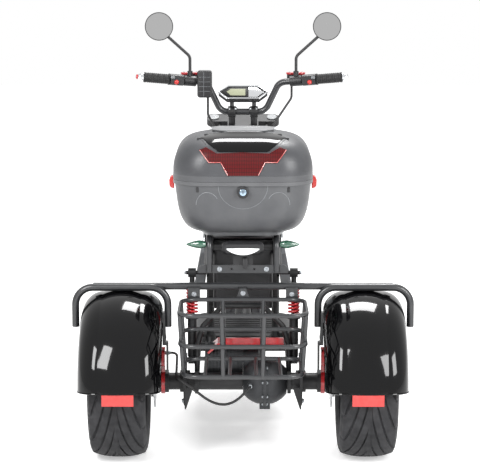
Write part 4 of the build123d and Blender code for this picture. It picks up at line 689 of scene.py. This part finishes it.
def tyre(name, node, body, width, centre):
    """A tyre with cut tread: each pitch has columns of land and one groove, swept out to the shoulder."""
    half = tyre_outline(width)
    outline = [(-x, r) for x, r in half[:0:-1]] + half
    spokes = TREAD_PITCHES * COLUMNS
    obj = turned(name, outline, centre, spokes)
    pitch = 2 * pi / TREAD_PITCHES
    for vertex in obj.data.vertices:
        x, y, z = vertex.co / MM
        radius = (y * y + z * z) ** 0.5
        index = round(Vector((y, z)).angle_signed(Vector((1, 0))) / (2 * pi) * spokes)
        step, column = divmod(index % spokes, COLUMNS)
        out = abs(x) / (width / 2)
        groove = (GROOVE_ALONG if out < GROOVE_END else NOTCH_ALONG) / TYRE_RADIUS / pitch
        wall = WALL_ALONG / TYRE_RADIUS / pitch
        land = 1 - groove - 2 * wall
        marks = [land * k / LAND_COLUMNS for k in range(LAND_COLUMNS)]
        marks += [land, land + wall, land + wall + groove]
        stagger = 0.5 * min(1, out * GROOVE_FADE) if x > 0 else 0
        reach = min(out, GROOVE_END)
        angle = (step + marks[column] + stagger) * pitch + SWEEP * reach * (1 + SWEEP_EASE * (1 - reach))
        if column > LAND_COLUMNS and out > GROOVE_START and radius > TYRE_RADIUS - TREAD_BAND:
            radius -= GROOVE_DEPTH * min(1, (out - GROOVE_START) * GROOVE_FADE)
        vertex.co = Vector((x, radius * cos(angle), radius * sin(angle))) * MM
    settle(obj, body, RUBBER, 28)
    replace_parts(obj, node)


tyre("tyre_right", "rear_tyre_right", "rear_wheel_right", REAR_TYRE_WIDTH, at(REAR_TYRE_X, 0, AXLE_Z))
tyre("tyre_left", "rear_tyre_left", "rear_wheel_left", REAR_TYRE_WIDTH, at(-REAR_TYRE_X, 0, AXLE_Z))
tyre("tyre_front", "front_tyre", "front_wheel", FRONT_TYRE_WIDTH, FRONT_AXLE)


# Top box: gloss panel, cap, slots, reflector edge, raised lines, lock and latches; the black slots, grooves,
# notches and keyway are painted shade, and the reflector edge and raised lines are painted highlights

LID_HUB = at(0, BOX_MIDDLE_Y, 900)
BOX_BEHIND = -400
PANEL_FOOT, PANEL_WAIST, PANEL_TOP = 103, 126, 100
PANEL_LOW, PANEL_HIGH = 11.6, 48
PANEL_CORNER, CORNER_RISE = 0.72, 9.4


def on_lid(x, angle):
    """A point on the lid's skin, by how far right and at what angle above the lid's middle it lies."""
    way = Vector((0, -cos(radians(angle)), sin(radians(angle))))
    return onto("topbox_lid", LID_HUB + Vector((x * MM, 0, 0)) + way * 0.5, -way)


def on_back(node, x, z):
    """A point on the back of the tub or the reflector."""
    return onto(node, at(x, BOX_BEHIND, z), FORWARD)


def lid_panel():
    """The gloss panel above the reflector: a grid laid on the lid's skin and thickened outwards."""
    bpy.ops.mesh.primitive_grid_add(x_subdivisions=24, y_subdivisions=12, size=2, location=(0, 0, 0))
    obj = bpy.context.object
    obj.name = "lid_gloss_panel"
    for vertex in obj.data.vertices:
        across, up = vertex.co.x, (vertex.co.y + 1) / 2
        half = PANEL_FOOT + (PANEL_WAIST - PANEL_FOOT) * 2 * up
        if up >= 0.5:
            half = PANEL_WAIST - (PANEL_WAIST - PANEL_TOP) * (2 * up - 1)
        low = PANEL_LOW + CORNER_RISE * max(0, abs(across) - PANEL_CORNER) / (1 - PANEL_CORNER)
        vertex.co = on_lid(across * half, low + (PANEL_HIGH - low) * up)
    skin = obj.modifiers.new("skin", "SOLIDIFY")
    skin.thickness, skin.offset = 1.6 * MM, 1
    apply_modifiers(obj)
    bpy.ops.object.mode_set(mode="EDIT")
    leave_edit()
    rim = obj.modifiers.new("rim", "BEVEL")
    rim.width, rim.segments = 0.6 * MM, 2
    apply_modifiers(obj)
    settle(obj, "lid", GLOSS)


lid_panel()
cap_outline = [(-64, -70), (64, -70), (92, -40), (96, 40), (70, 72), (-70, 72), (-96, 40), (-92, -40)]
plate("lid_cap", cap_outline, at(0, BOX_MIDDLE_Y, BOX_TOP_Z - 1), RIGHT, UP, 4, "lid", CAP, 1.5)
SLOT_FACING = (0, -0.8, 0.6)
# The black slots and grooves on the lid are painted shade for hollows in its skin.
slots, grooves = [], []
for side in (-1, 1):
    for x, angle, half in ((127, 31, 9), (108, 44, 7)):
        place = on_lid(side * x, angle)
        slots.append(plate("slot", rounded(half, 3, 2.9), place, RIGHT, SLOT_FACING, 2.4, "lid", BLACK, 0.5))
    line = [on_lid(side * (127 - 19 * i / 9), 31 - 11 * i / 9) for i in range(10)]
    grooves.append(wire("groove", line, 1.0, "lid", BLACK))
joined("lid_slots_painted_shade", slots)
joined("lid_grooves_painted_shade", grooves)

# The pale pink strips along the reflector's edges are a painted highlight.
edges = []
for side in (-1, 1):
    run = dense([(126, 942.5), (99.4, 908.6), (64.4, 908.6), (44.8, 871.6)], 5)
    edges.append(wire("edge", [on_back("topbox_reflector", side * x, z) for x, z in run], 1.1, "lid", EDGE_HIGHLIGHT))
joined("reflector_edge_painted_highlights", edges)
# The tub's raised lines take the lighter grey as a painted highlight along their ridges.
raised_runs = [[(72 * u, 838 + 67 * v) for u, v in arc((0, 0), 1, 180, 360, 36)]]
for side in (-1, 1):
    raised_runs.append([(side * (104 + 33 * u), 782 + 38 * v) for u, v in arc((0, 0), 1, 150, 0, 24)])
raised = []
for run in raised_runs:
    raised.append(wire("raised", [on_back("topbox_tub", x, z) for x, z in run], 0.9, "chassis", GREY))
joined("tub_raised_lines_painted_highlight", raised)
# The black plates at the notches are painted shade for the notches' hollows.
notches = []
for x in (-133, 133):
    place = on_back("topbox_tub", x, 828)
    notches.append(plate("notch", rounded(4, 8, 2), place, RIGHT, BACK, 2, "chassis", BLACK, 0.6))
joined("tub_notches_painted_shade", notches)

low, high = span("topbox_lock")
lock = Vector((0, low.y, (low.z + high.z) / 2))
collar_line = [(-3, 11), (-3, 17.5), (1.5, 17.5), (3.4, 15), (3.4, 11.5), (0.4, 11), (-3, 11)]
lathe("lock_collar", collar_line, lock, BACK, "chassis", BLACK)
lathe("lock_face", [(-1, 0), (-1, 10.8), (0.8, 10.8), (1.6, 9.5), (1.8, 0)], lock, BACK, "chassis", BLUED)
# The keyway is a thin black plate: painted shade for the hole.
keyway = lock + Vector((0, -1.6, 0)) * MM
plate("lock_keyway_painted_shade", rounded(1.1, 4.5, 1), keyway, RIGHT, BACK, 0.5, "chassis", BLACK, 0.15)

hook = [(0, 0), (10, 3), (14, 9), (14.6, 26), (11, 36), (4, 39), (0, 39)]
low, high = span("topbox_latches", 1)
latch = plate("latch", hook, Vector((low.x, high.y, low.z)), RIGHT, BACK, 34, "chassis", MARKER, 2)
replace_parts(joined("latch_hooks", [latch, mirrored(latch, "latch_left")]), "topbox_latches")


# Rear end: springs, bolts and the lever under the lamp

COIL_RADIUS = 15.0
COIL_WIRE = 3.8
COILS = 8
COIL_STEPS = 28
SPRING_LOW, SPRING_HIGH = 0.47, 0.84
CUP_HEIGHT = 7.3
TOP_CLEARANCE = 0.3


def spring():
    """The right damper's coil: a ring of wire wound up by a screw and stood on the damper's axis."""
    run = SHOCK_HEAD - SHOCK_FOOT
    low = run.length * SPRING_LOW + CUP_HEIGHT + COIL_WIRE
    high = run.length * SPRING_HIGH - TOP_CLEARANCE - COIL_WIRE
    bpy.ops.mesh.primitive_circle_add(vertices=12, radius=COIL_WIRE * MM, location=(0, 0, 0))
    obj = bpy.context.object
    bpy.ops.object.mode_set(mode="EDIT")
    bpy.ops.transform.rotate(value=pi / 2, orient_axis="X", center_override=(0, 0, 0))
    bpy.ops.transform.translate(value=(COIL_RADIUS * MM, 0, 0))
    bpy.ops.object.mode_set(mode="OBJECT")
    wound = obj.modifiers.new("wound", "SCREW")
    wound.axis, wound.angle, wound.iterations = "Z", 2 * pi, COILS
    wound.screw_offset = (high - low) / COILS * MM
    wound.steps = wound.render_steps = COIL_STEPS
    apply_modifiers(obj)
    bpy.ops.object.mode_set(mode="EDIT")
    bpy.ops.mesh.select_all(action="SELECT")
    bpy.ops.mesh.remove_doubles(threshold=1e-6)
    bpy.ops.mesh.fill_holes(sides=0)
    leave_edit()
    along = run.normalized()
    obj.matrix_world = stood(at(*(SHOCK_FOOT + along * low)), along)
    return settle(obj, "chassis", RED)


coil = spring()
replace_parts(joined("spring_coils", [coil, mirrored(coil, "coil_left")]), "shock_springs")

bright = [(at(x, -24, 576), BACK) for x in (-70, 70)]
bright += [(at(0, -42.3, 506), BACK), (at(-146, -42.3, 503), BACK), (at(146, -42.3, 503), BACK)]
bright += [(at(173.5, 78, 548), RIGHT), (at(-173.5, 78, 548), LEFT)]
bolts("bright_bolts", bright, 5.0, "chassis", ZINC)
flange_ring = [(y, z) for y, z in arc((0, AXLE_Z), 70, 20, 360, 9) if y < 40]
dark = [(at(71.5, y, z), RIGHT) for y, z in flange_ring] + [(at(60.5, y, z), LEFT) for y, z in flange_ring]
bolts("case_bolts", dark, 3.8, "chassis", ZINC)
feet = [(at(s * 179.2, y, z), (s, 0, 0)) for s in (-1, 1) for y, z in ((-5, 168), (62, 282), (-40, 270))]
bolts("hanger_bolts", feet, 6.0, "chassis", ZINC)
lever = [(-7, 0), (7, 0), (9, -22), (4, -34), (-4, -34), (-8, -22)]
plate("seat_lock_lever", lever, at(6, -29, 611), RIGHT, (0, -1, 0.15), 6, "chassis", BLACK, 2)

# Brake hose: round the hanger as the solid's, then in one smooth sag to its port on the gear case

HANGER_X = 175
HOSE_RADIUS = 4.0
HOSE_Y, HOSE_TOP = 12, 313
HOSE_BACK = -84
HOSE_OUTSIDE = -HANGER_X - 24
HOSE_SAG = 176
HOSE_PORT = Vector((22, -60, 228))

hose_start = Vector((-234.8, HOSE_Y, HOSE_TOP))
hose_round = [
    hose_start,
    (HOSE_OUTSIDE, HOSE_Y, HOSE_TOP),
    (HOSE_OUTSIDE, HOSE_BACK, 258),
    (-HANGER_X + 20, HOSE_BACK, 228),
]
hose_sag = [
    Vector((-88, HOSE_BACK, HOSE_SAG)),
    Vector((-30, HOSE_BACK, HOSE_SAG)),
    Vector((HOSE_PORT.x, HOSE_BACK, HOSE_PORT.z)),
    HOSE_PORT,
]
hose_line = [at(*point) for point in eased([Vector(point) for point in dense(hose_round, 40)] + hose_sag, 3)]
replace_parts(wire("sagging_hose", hose_line, HOSE_RADIUS, "chassis", HOSE), "brake_hose")
crimp = [(0, 0), (0, 5.4), (1, 6), (4, 6), (5, 5.2), (9, 5.2), (10, 6), (14, 6), (15, 5.2), (15, 0)]
ferrules = [
    lathe("ferrule", crimp, at(*hose_start), RIGHT, "chassis", ZINC, 24),
    lathe("ferrule_port", crimp, at(*HOSE_PORT), BACK, "chassis", ZINC, 24),
]
joined("hose_ferrules", ferrules)

# Handlebar: grips, end weights, tank lids, buttons, display and mirror rims

GRIP_LENGTH = 90
GRIP_RIBS = 10
RIB_PITCH = 7


def both_bar(name, node, profile, from_end, made):
    """A turned sleeve on each end of the bar, from a point measured in from the end, in place of a solid."""
    pieces = []
    for side in (-1, 1):
        place, outwards = on_bar(side, from_end)
        pieces.append(lathe(name, profile, place, outwards, "steering", made))
    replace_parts(joined(name, pieces), node)


grip_line = [(0.5, 11.3), (0.5, 18), (2, 19.6), (4.5, 19.6), (6, 17.4)]
for rib in range(GRIP_RIBS):
    grip_line += [(along + rib * RIB_PITCH, r) for along, r in ((9, 16), (10.5, 17), (14, 17), (15.5, 16))]
grip_line += [(82, 16.2), (84, 17.2), (88, 17.2), (89.5, 16), (89.5, 11.3), (0.5, 11.3)]
both_bar("rubber_grips", "grips", grip_line, GRIP_LENGTH, GRIP)
weight_line = [(0.4, 0), (0.4, 14.5), (3, 16), (7, 15.5), (9, 13), (10, 13), (17, 10.5), (20, 8), (21, 0)]
both_bar("end_weights", "bar_ends", weight_line, 0, CHROME)
place, outwards = on_bar(-1, -20.5)
lathe("end_tip", [(0, 0), (0, 7.5), (2, 8.5), (5, 7.5), (6.5, 4), (7, 0)], place, outwards, "steering", RED)

lids, screws = [], []
for side in (-1, 1):
    low, high = span("master_caps", side)
    middle, half = (low + high) / 2, (high - low) / 2 / MM
    place = Vector((middle.x, middle.y, low.z))
    oval = rounded(half.x, half.y, half.y - 0.1)
    lids.append(plate("lid", oval, place, RIGHT, UP, 7, "steering", RED, 2))
    screws += [(Vector((middle.x + dx * MM, middle.y, high.z - 0.4 * MM)), UP) for dx in (-22, 22)]
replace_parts(joined("tank_lids", lids), "master_caps")
bolts("tank_screws", screws, 3.0, "steering", CHROME)

dome_line = [(-2, 0), (-2, 8), (2, 8), (4.5, 6.5), (6, 3.5), (6.4, 0)]
buttons, rockers = [], []
for side in (-1, 1):
    low, high = span("switch_pods", side)
    start = Vector(((low.x + high.x) / 2, low.y - 100 * MM, low.z + 0.35 * (high.z - low.z)))
    place = onto("switch_pods", start, FORWARD)
    buttons.append(lathe("button", dome_line, place, BACK, "steering", MARKER))
    place = onto("switch_pods", start + Vector((side * 12, 0, 16)) * MM, FORWARD)
    rockers.append(plate("rocker", rounded(7, 4.5, 2), place, RIGHT, (0, -1, 0.2), 3.5, "steering", GREY, 1))
joined("pod_buttons", buttons)
joined("pod_rockers", rockers)

DASH_FACING = Vector((0, -0.72, 0.69)).normalized()
DASH_UP = DASH_FACING.cross(Vector(RIGHT))
dash_origin = on_axis(BAR_ALONG) + Vector((0, 6, 46)) * MM + DASH_FACING * 30 * MM


def on_dash(u, v, lift=0.0):
    """A point on the display's face: right, up the face and off it."""
    return dash_origin + (Vector(RIGHT) * u + DASH_UP * v + DASH_FACING * lift) * MM


bezel = [(-84, 2), (-54, -26), (54, -26), (84, 2), (50, 28), (-50, 28)]
wire("dash_bezel", [on_dash(u, v) for u, v in bezel], 3.2, "steering", CHROME, closed=True)
mask = [(-72, 1), (-46, -20), (16, -20), (16, 21), (-44, 21)]
plate("dash_mask", mask, on_dash(0, 0, 0.4), RIGHT, DASH_FACING, 0.8, "steering", DISPLAY, 0.2)
crystal = [(-56, 2), (-42, -14), (8, -14), (8, 15), (-42, 15)]
plate("dash_crystal", crystal, on_dash(0, 0, 1.2), RIGHT, DASH_FACING, 0.5, "steering", CRYSTAL, 0.15)
# The chrome patch over the right of the display's face is a painted reflection of glare.
glare = [(19, -20), (47, -20), (72, 1), (45, 21), (19, 21)]
plate("dash_glare_painted_reflection", glare, on_dash(0, 0, 0.4), RIGHT, DASH_FACING, 0.8, "steering", CHROME, 0.2)
off_bar = Vector((0, -12, 12)) * MM
clamps = [(on_axis(BAR_ALONG, 0, x) + off_bar, (0, -0.7, 0.7)) for x in (-46, -26, 26, 46)]
bolts("clamp_bolts", clamps, 4.5, "steering", CHROME)

mirror_line = [(-1.5, 45.5), (1.2, 45.5), (2.2, 46.8), (1.2, 48.2), (-1.5, 48.2), (-1.5, 45.5)]
rims = []
for side in (-1, 1):
    low, high = span("mirror_glass", side)
    middle = Vector(((low.x + high.x) / 2, low.y, (low.z + high.z) / 2))
    rims.append(lathe("rim", mirror_line, middle, BACK, "steering", BLACK, 64))
joined("mirror_rims", rims)

# Control box on the left riser: a rounded case with a split line and ribs across its back

low, high = span("control_box")
middle, half = (low + high) / 2, (high - low) / 2 / MM
case_outline, case_place = rounded(half.x, half.z, 9), Vector((middle.x, high.y, middle.z))
case = plate("control_case", case_outline, case_place, RIGHT, BACK, 2 * half.y, "steering", BLACK, 4)
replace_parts(case, "control_box")
rib_ends = [((-19, dz), (19, dz)) for dz in (-24, -8, 8, 24)] + [((-3, -40), (-3, 40))]
ribs = []
for ends in rib_ends:
    points = [Vector((middle.x + dx * MM, low.y, middle.z + dz * MM)) for dx, dz in ends]
    ribs.append(wire("rib", points, 0.7, "steering", GREY))
joined("control_case_ribs", ribs)

# Wheels: hub caps, nuts and valves on the open side of the rear wheels

NUT_RING = arc((0, 0), 44, 18, 306, 4)
NUT_FACE, HUB_FACE = 58, 72
CAP_LINE = [(-2, 0), (-2, 24), (4, 24), (8, 20), (10, 10), (10.5, 0)]
VALVE_LINE = [(0, 4), (3, 5.5), (6, 4.2), (26, 3.6), (26, 4.4), (33, 4.4), (33.5, 0), (0, 0), (0, 4)]
VALVE_OUT = Vector((0, sin(radians(36)), cos(radians(36))))
VALVE_X, VALVE_REACH = 40, 116


def wheel_trim(name, body, side):
    """Nuts round the hub, a domed cap and the valve."""
    centre, outwards = at(side * REAR_TYRE_X, 0, AXLE_Z), Vector((side, 0, 0))
    lathe(name + "_cap", CAP_LINE, centre + outwards * HUB_FACE * MM, outwards, body, CHROME)
    nuts = [(centre + Vector((side * NUT_FACE, y, z)) * MM, outwards) for y, z in NUT_RING]
    bolts(name + "_nuts", nuts, 6.5, body, CHROME)
    foot = centre + (outwards * VALVE_X + VALVE_OUT * VALVE_REACH) * MM
    lathe(name + "_valve", VALVE_LINE, foot, outwards * 0.7 - VALVE_OUT, body, BLACK, 16)


wheel_trim("wheel_right", "rear_wheel_right", 1)
wheel_trim("wheel_left", "rear_wheel_left", -1)

# Fenders: a rolled bead along the edge of each shell

FENDER_X = REAR_TYRE_X - 10
FENDER_HALF = 121
FENDER_FOOT = 193
FENDER_SHOULDER = 211
FENDER_ROUND = 62
FENDER_FRONT, FENDER_BACK = 28, 175
BEAD_STEPS = 48


def on_fender(x, radius, angle):
    """A point of the right fender, by its place across, its distance from the axle and its angle round it."""
    turn = radians(angle)
    return at(FENDER_X + x, radius * cos(turn), AXLE_Z + radius * sin(turn))


def fender_section(angle):
    """The fender's section at an angle, from its outer skirt over the crown to the inner one."""
    points = [(FENDER_HALF, FENDER_FOOT)]
    points += arc((FENDER_HALF - FENDER_ROUND, FENDER_SHOULDER), FENDER_ROUND, 0, 90, 8)
    points += [(-x, radius) for x, radius in reversed(points)]
    return [on_fender(x, radius, angle) for x, radius in points]


def skirt(x, start, end):
    """The points of a skirt's edge between two angles."""
    return [on_fender(x, FENDER_FOOT, start + (end - start) * i / BEAD_STEPS) for i in range(1, BEAD_STEPS)]


rim_line = fender_section(FENDER_BACK) + skirt(-FENDER_HALF, FENDER_BACK, FENDER_FRONT)
rim_line += fender_section(FENDER_FRONT)[::-1] + skirt(FENDER_HALF, FENDER_FRONT, FENDER_BACK)
bead = wire("fender_bead_right", rim_line, 2.6, "chassis", GLOSS, closed=True)
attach(mirrored(bead, "fender_bead_left"), "chassis")

# Saddle: the solid's own form, filled with air in a cloth run, then sewn into channels across it

SHARE_X, SHARE_Y, SHARE_Z = 0.975, 0.985, 0.97
VOXEL = 6 * MM
AIR_PRESSURE = 4
CLOTH_FRAMES = 20
SWELL_LIMIT = 8 * MM
BASE_HEIGHT = 4 * MM
SEAMS = 6
SEAM_FIRST, SEAM_PITCH = 110 * MM, 52 * MM
SEAM_DEPTH, SEAM_WIDTH = 4.5 * MM, 5 * MM
SEAM_LOW, SEAM_FADE = 30 * MM, 20 * MM


def cushion():
    """A padded copy of the saddle: voxels, a short cloth run under pressure, and seams."""
    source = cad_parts["seat"]
    obj = bpy.data.objects.new("saddle_cushion", source.data.copy())
    scene.collection.objects.link(obj)
    middle = sum((v.co for v in obj.data.vertices), Vector()) / len(obj.data.vertices)
    low, high = span("seat")
    for vertex in obj.data.vertices:
        vertex.co.x *= SHARE_X
        vertex.co.y = middle.y + (vertex.co.y - middle.y) * SHARE_Y
        vertex.co.z = low.z + (vertex.co.z - low.z) * SHARE_Z
    take(obj)
    voxels = obj.modifiers.new("voxels", "REMESH")
    voxels.mode, voxels.voxel_size = "VOXEL", VOXEL
    apply_modifiers(obj)
    rest = [vertex.co.copy() for vertex in obj.data.vertices]
    cloth = obj.modifiers.new("air", "CLOTH")
    cloth.settings.use_pressure = True
    cloth.settings.uniform_pressure_force = AIR_PRESSURE
    cloth.settings.effector_weights.gravity = 0
    cloth.point_cache.frame_start, cloth.point_cache.frame_end = 1, CLOTH_FRAMES
    for step in range(1, CLOTH_FRAMES + 1):
        scene.frame_set(step)
    apply_modifiers(obj)
    scene.frame_set(1)
    for vertex, start in zip(obj.data.vertices, rest):
        move = vertex.co - start
        if move.length > SWELL_LIMIT:
            move *= SWELL_LIMIT / move.length
        if start.z < low.z + BASE_HEIGHT:
            move = Vector()
        vertex.co = start + move
        up = min(1, max(0, (vertex.co.z - low.z - SEAM_LOW) / SEAM_FADE))
        for seam in range(SEAMS):
            away = (vertex.co.y - high.y + SEAM_FIRST + SEAM_PITCH * seam) / SEAM_WIDTH
            vertex.co.z -= SEAM_DEPTH * up * exp(-away * away)
        vertex.co.z = max(vertex.co.z, low.z + 0.2 * MM)
    smooth = obj.modifiers.new("smooth", "SUBSURF")
    smooth.levels = 1
    apply_modifiers(obj)
    settle(obj, "chassis", VINYL, 60)
    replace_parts(obj, "seat")


cushion()

# Headlamp: a bright bezel round the glass

low, high = span("headlamp_lens")
lamp_middle = Vector((0, high.y - 9 * MM, (low.z + high.z) / 2))
bezel_line = [(-10, 78.2), (-10, 80), (3, 80.4), (6, 78.5), (6.5, 74.5), (4, 72.2), (0.2, 72.2), (0.2, 78.2)]
bezel_line += bezel_line[:1]
lathe("lamp_bezel", bezel_line, lamp_middle, FORWARD, "steering", CHROME, 72)

# Stage, light and camera: lengths in metres

WHITE = (1, 1, 1, 1)
AMBIENT = 0.4
FOCAL_PIXELS, PHOTO_WIDTH = 1859, 480
CAMERA_BACK, CAMERA_HEIGHT = 5.5, 1.516
CAMERA_DOWN, CAMERA_TURN = radians(8.78), radians(0.0925)


def softbox(name, place, target, size, power):
    """A rectangular area lamp turned towards a point."""
    lamp = bpy.data.lights.new(name, "AREA")
    lamp.shape = "RECTANGLE"
    lamp.size, lamp.size_y = size
    lamp.energy = power
    obj = bpy.data.objects.new(name, lamp)
    obj.location = place
    obj.rotation_euler = (Vector(target) - Vector(place)).to_track_quat("-Z", "Y").to_euler()
    scene.collection.objects.link(obj)


softbox("softbox_left", (-1.75, -3.2, 2.6), (-0.3, -0.7, 0.5), (0.9, 1.8), 120)
softbox("softbox_right", (2.4, -3.1, 2.0), (0.3, -0.7, 0.5), (1.2, 1.5), 110)
softbox("softbox_top", (0.4, 1.0, 3.6), (0.2, -0.5, 0.5), (1.6, 1.1), 130)


def seen(tree):
    """1 for rays from the camera and for those that metal mirrors or glass passes on, and 0 for the rest."""
    rays = add(tree, "LightPath")
    level = rays.outputs["Is Camera Ray"]
    for name in ("Is Glossy Ray", "Is Transmission Ray"):
        either = add(tree, "Math", operation="MAXIMUM")
        tree.links.new(level, either.inputs[0])
        tree.links.new(rays.outputs[name], either.inputs[1])
        level = either.outputs["Value"]
    return level


# The world: white where it is seen, and a plain soft light on the object
world = bpy.data.worlds.new("studio")
scene.world = world
world.use_nodes = True
sky = world.node_tree
ambient = sky.nodes["Background"]
ambient.inputs["Strength"].default_value = AMBIENT
ambient.inputs["Color"].default_value = WHITE
white = add(sky, "Background", Color=WHITE, Strength=1.0)
chosen = add(sky, "MixShader", Fac=seen(sky))
sky.links.new(ambient.outputs["Background"], chosen.inputs[1])
sky.links.new(white.outputs["Background"], chosen.inputs[2])
sky.links.new(chosen.outputs["Shader"], sky.nodes["World Output"].inputs["Surface"])

# The floor: white paper that keeps the shadow near the object and runs into the white world further off
bpy.ops.mesh.primitive_plane_add(size=30, location=(0, 0, 0))
floor = bpy.context.object
floor.name = "studio_floor"
paper, tree, shader, place = finish("white_paper_floor", "#f4f4f4", 0.9, Specular_IOR_Level=0.1)
shader.inputs["Emission Color"].default_value = WHITE
reach = add(tree, "VectorMath", operation="LENGTH", Vector=place)
far = add(tree, "MapRange", Value=reach.outputs["Value"], From_Min=1.0, From_Max=4.0, To_Min=0.46, To_Max=1.0)
glow = add(tree, "Math", operation="MULTIPLY")
tree.links.new(seen(tree), glow.inputs[0])
tree.links.new(far.outputs["Result"], glow.inputs[1])
feed(glow, shader, "Emission Strength")
floor.data.materials.append(paper)

camera = bpy.data.cameras.new("camera")
camera.sensor_width = 36
camera.lens = FOCAL_PIXELS / PHOTO_WIDTH * camera.sensor_width
view = bpy.data.objects.new("camera", camera)
view.location = (0, REAR_AXLE.y - CAMERA_BACK, CAMERA_HEIGHT)
view.rotation_euler = (radians(90) - CAMERA_DOWN, 0, CAMERA_TURN)
scene.collection.objects.link(view)
scene.camera = view
scene.view_settings.view_transform = "Standard"
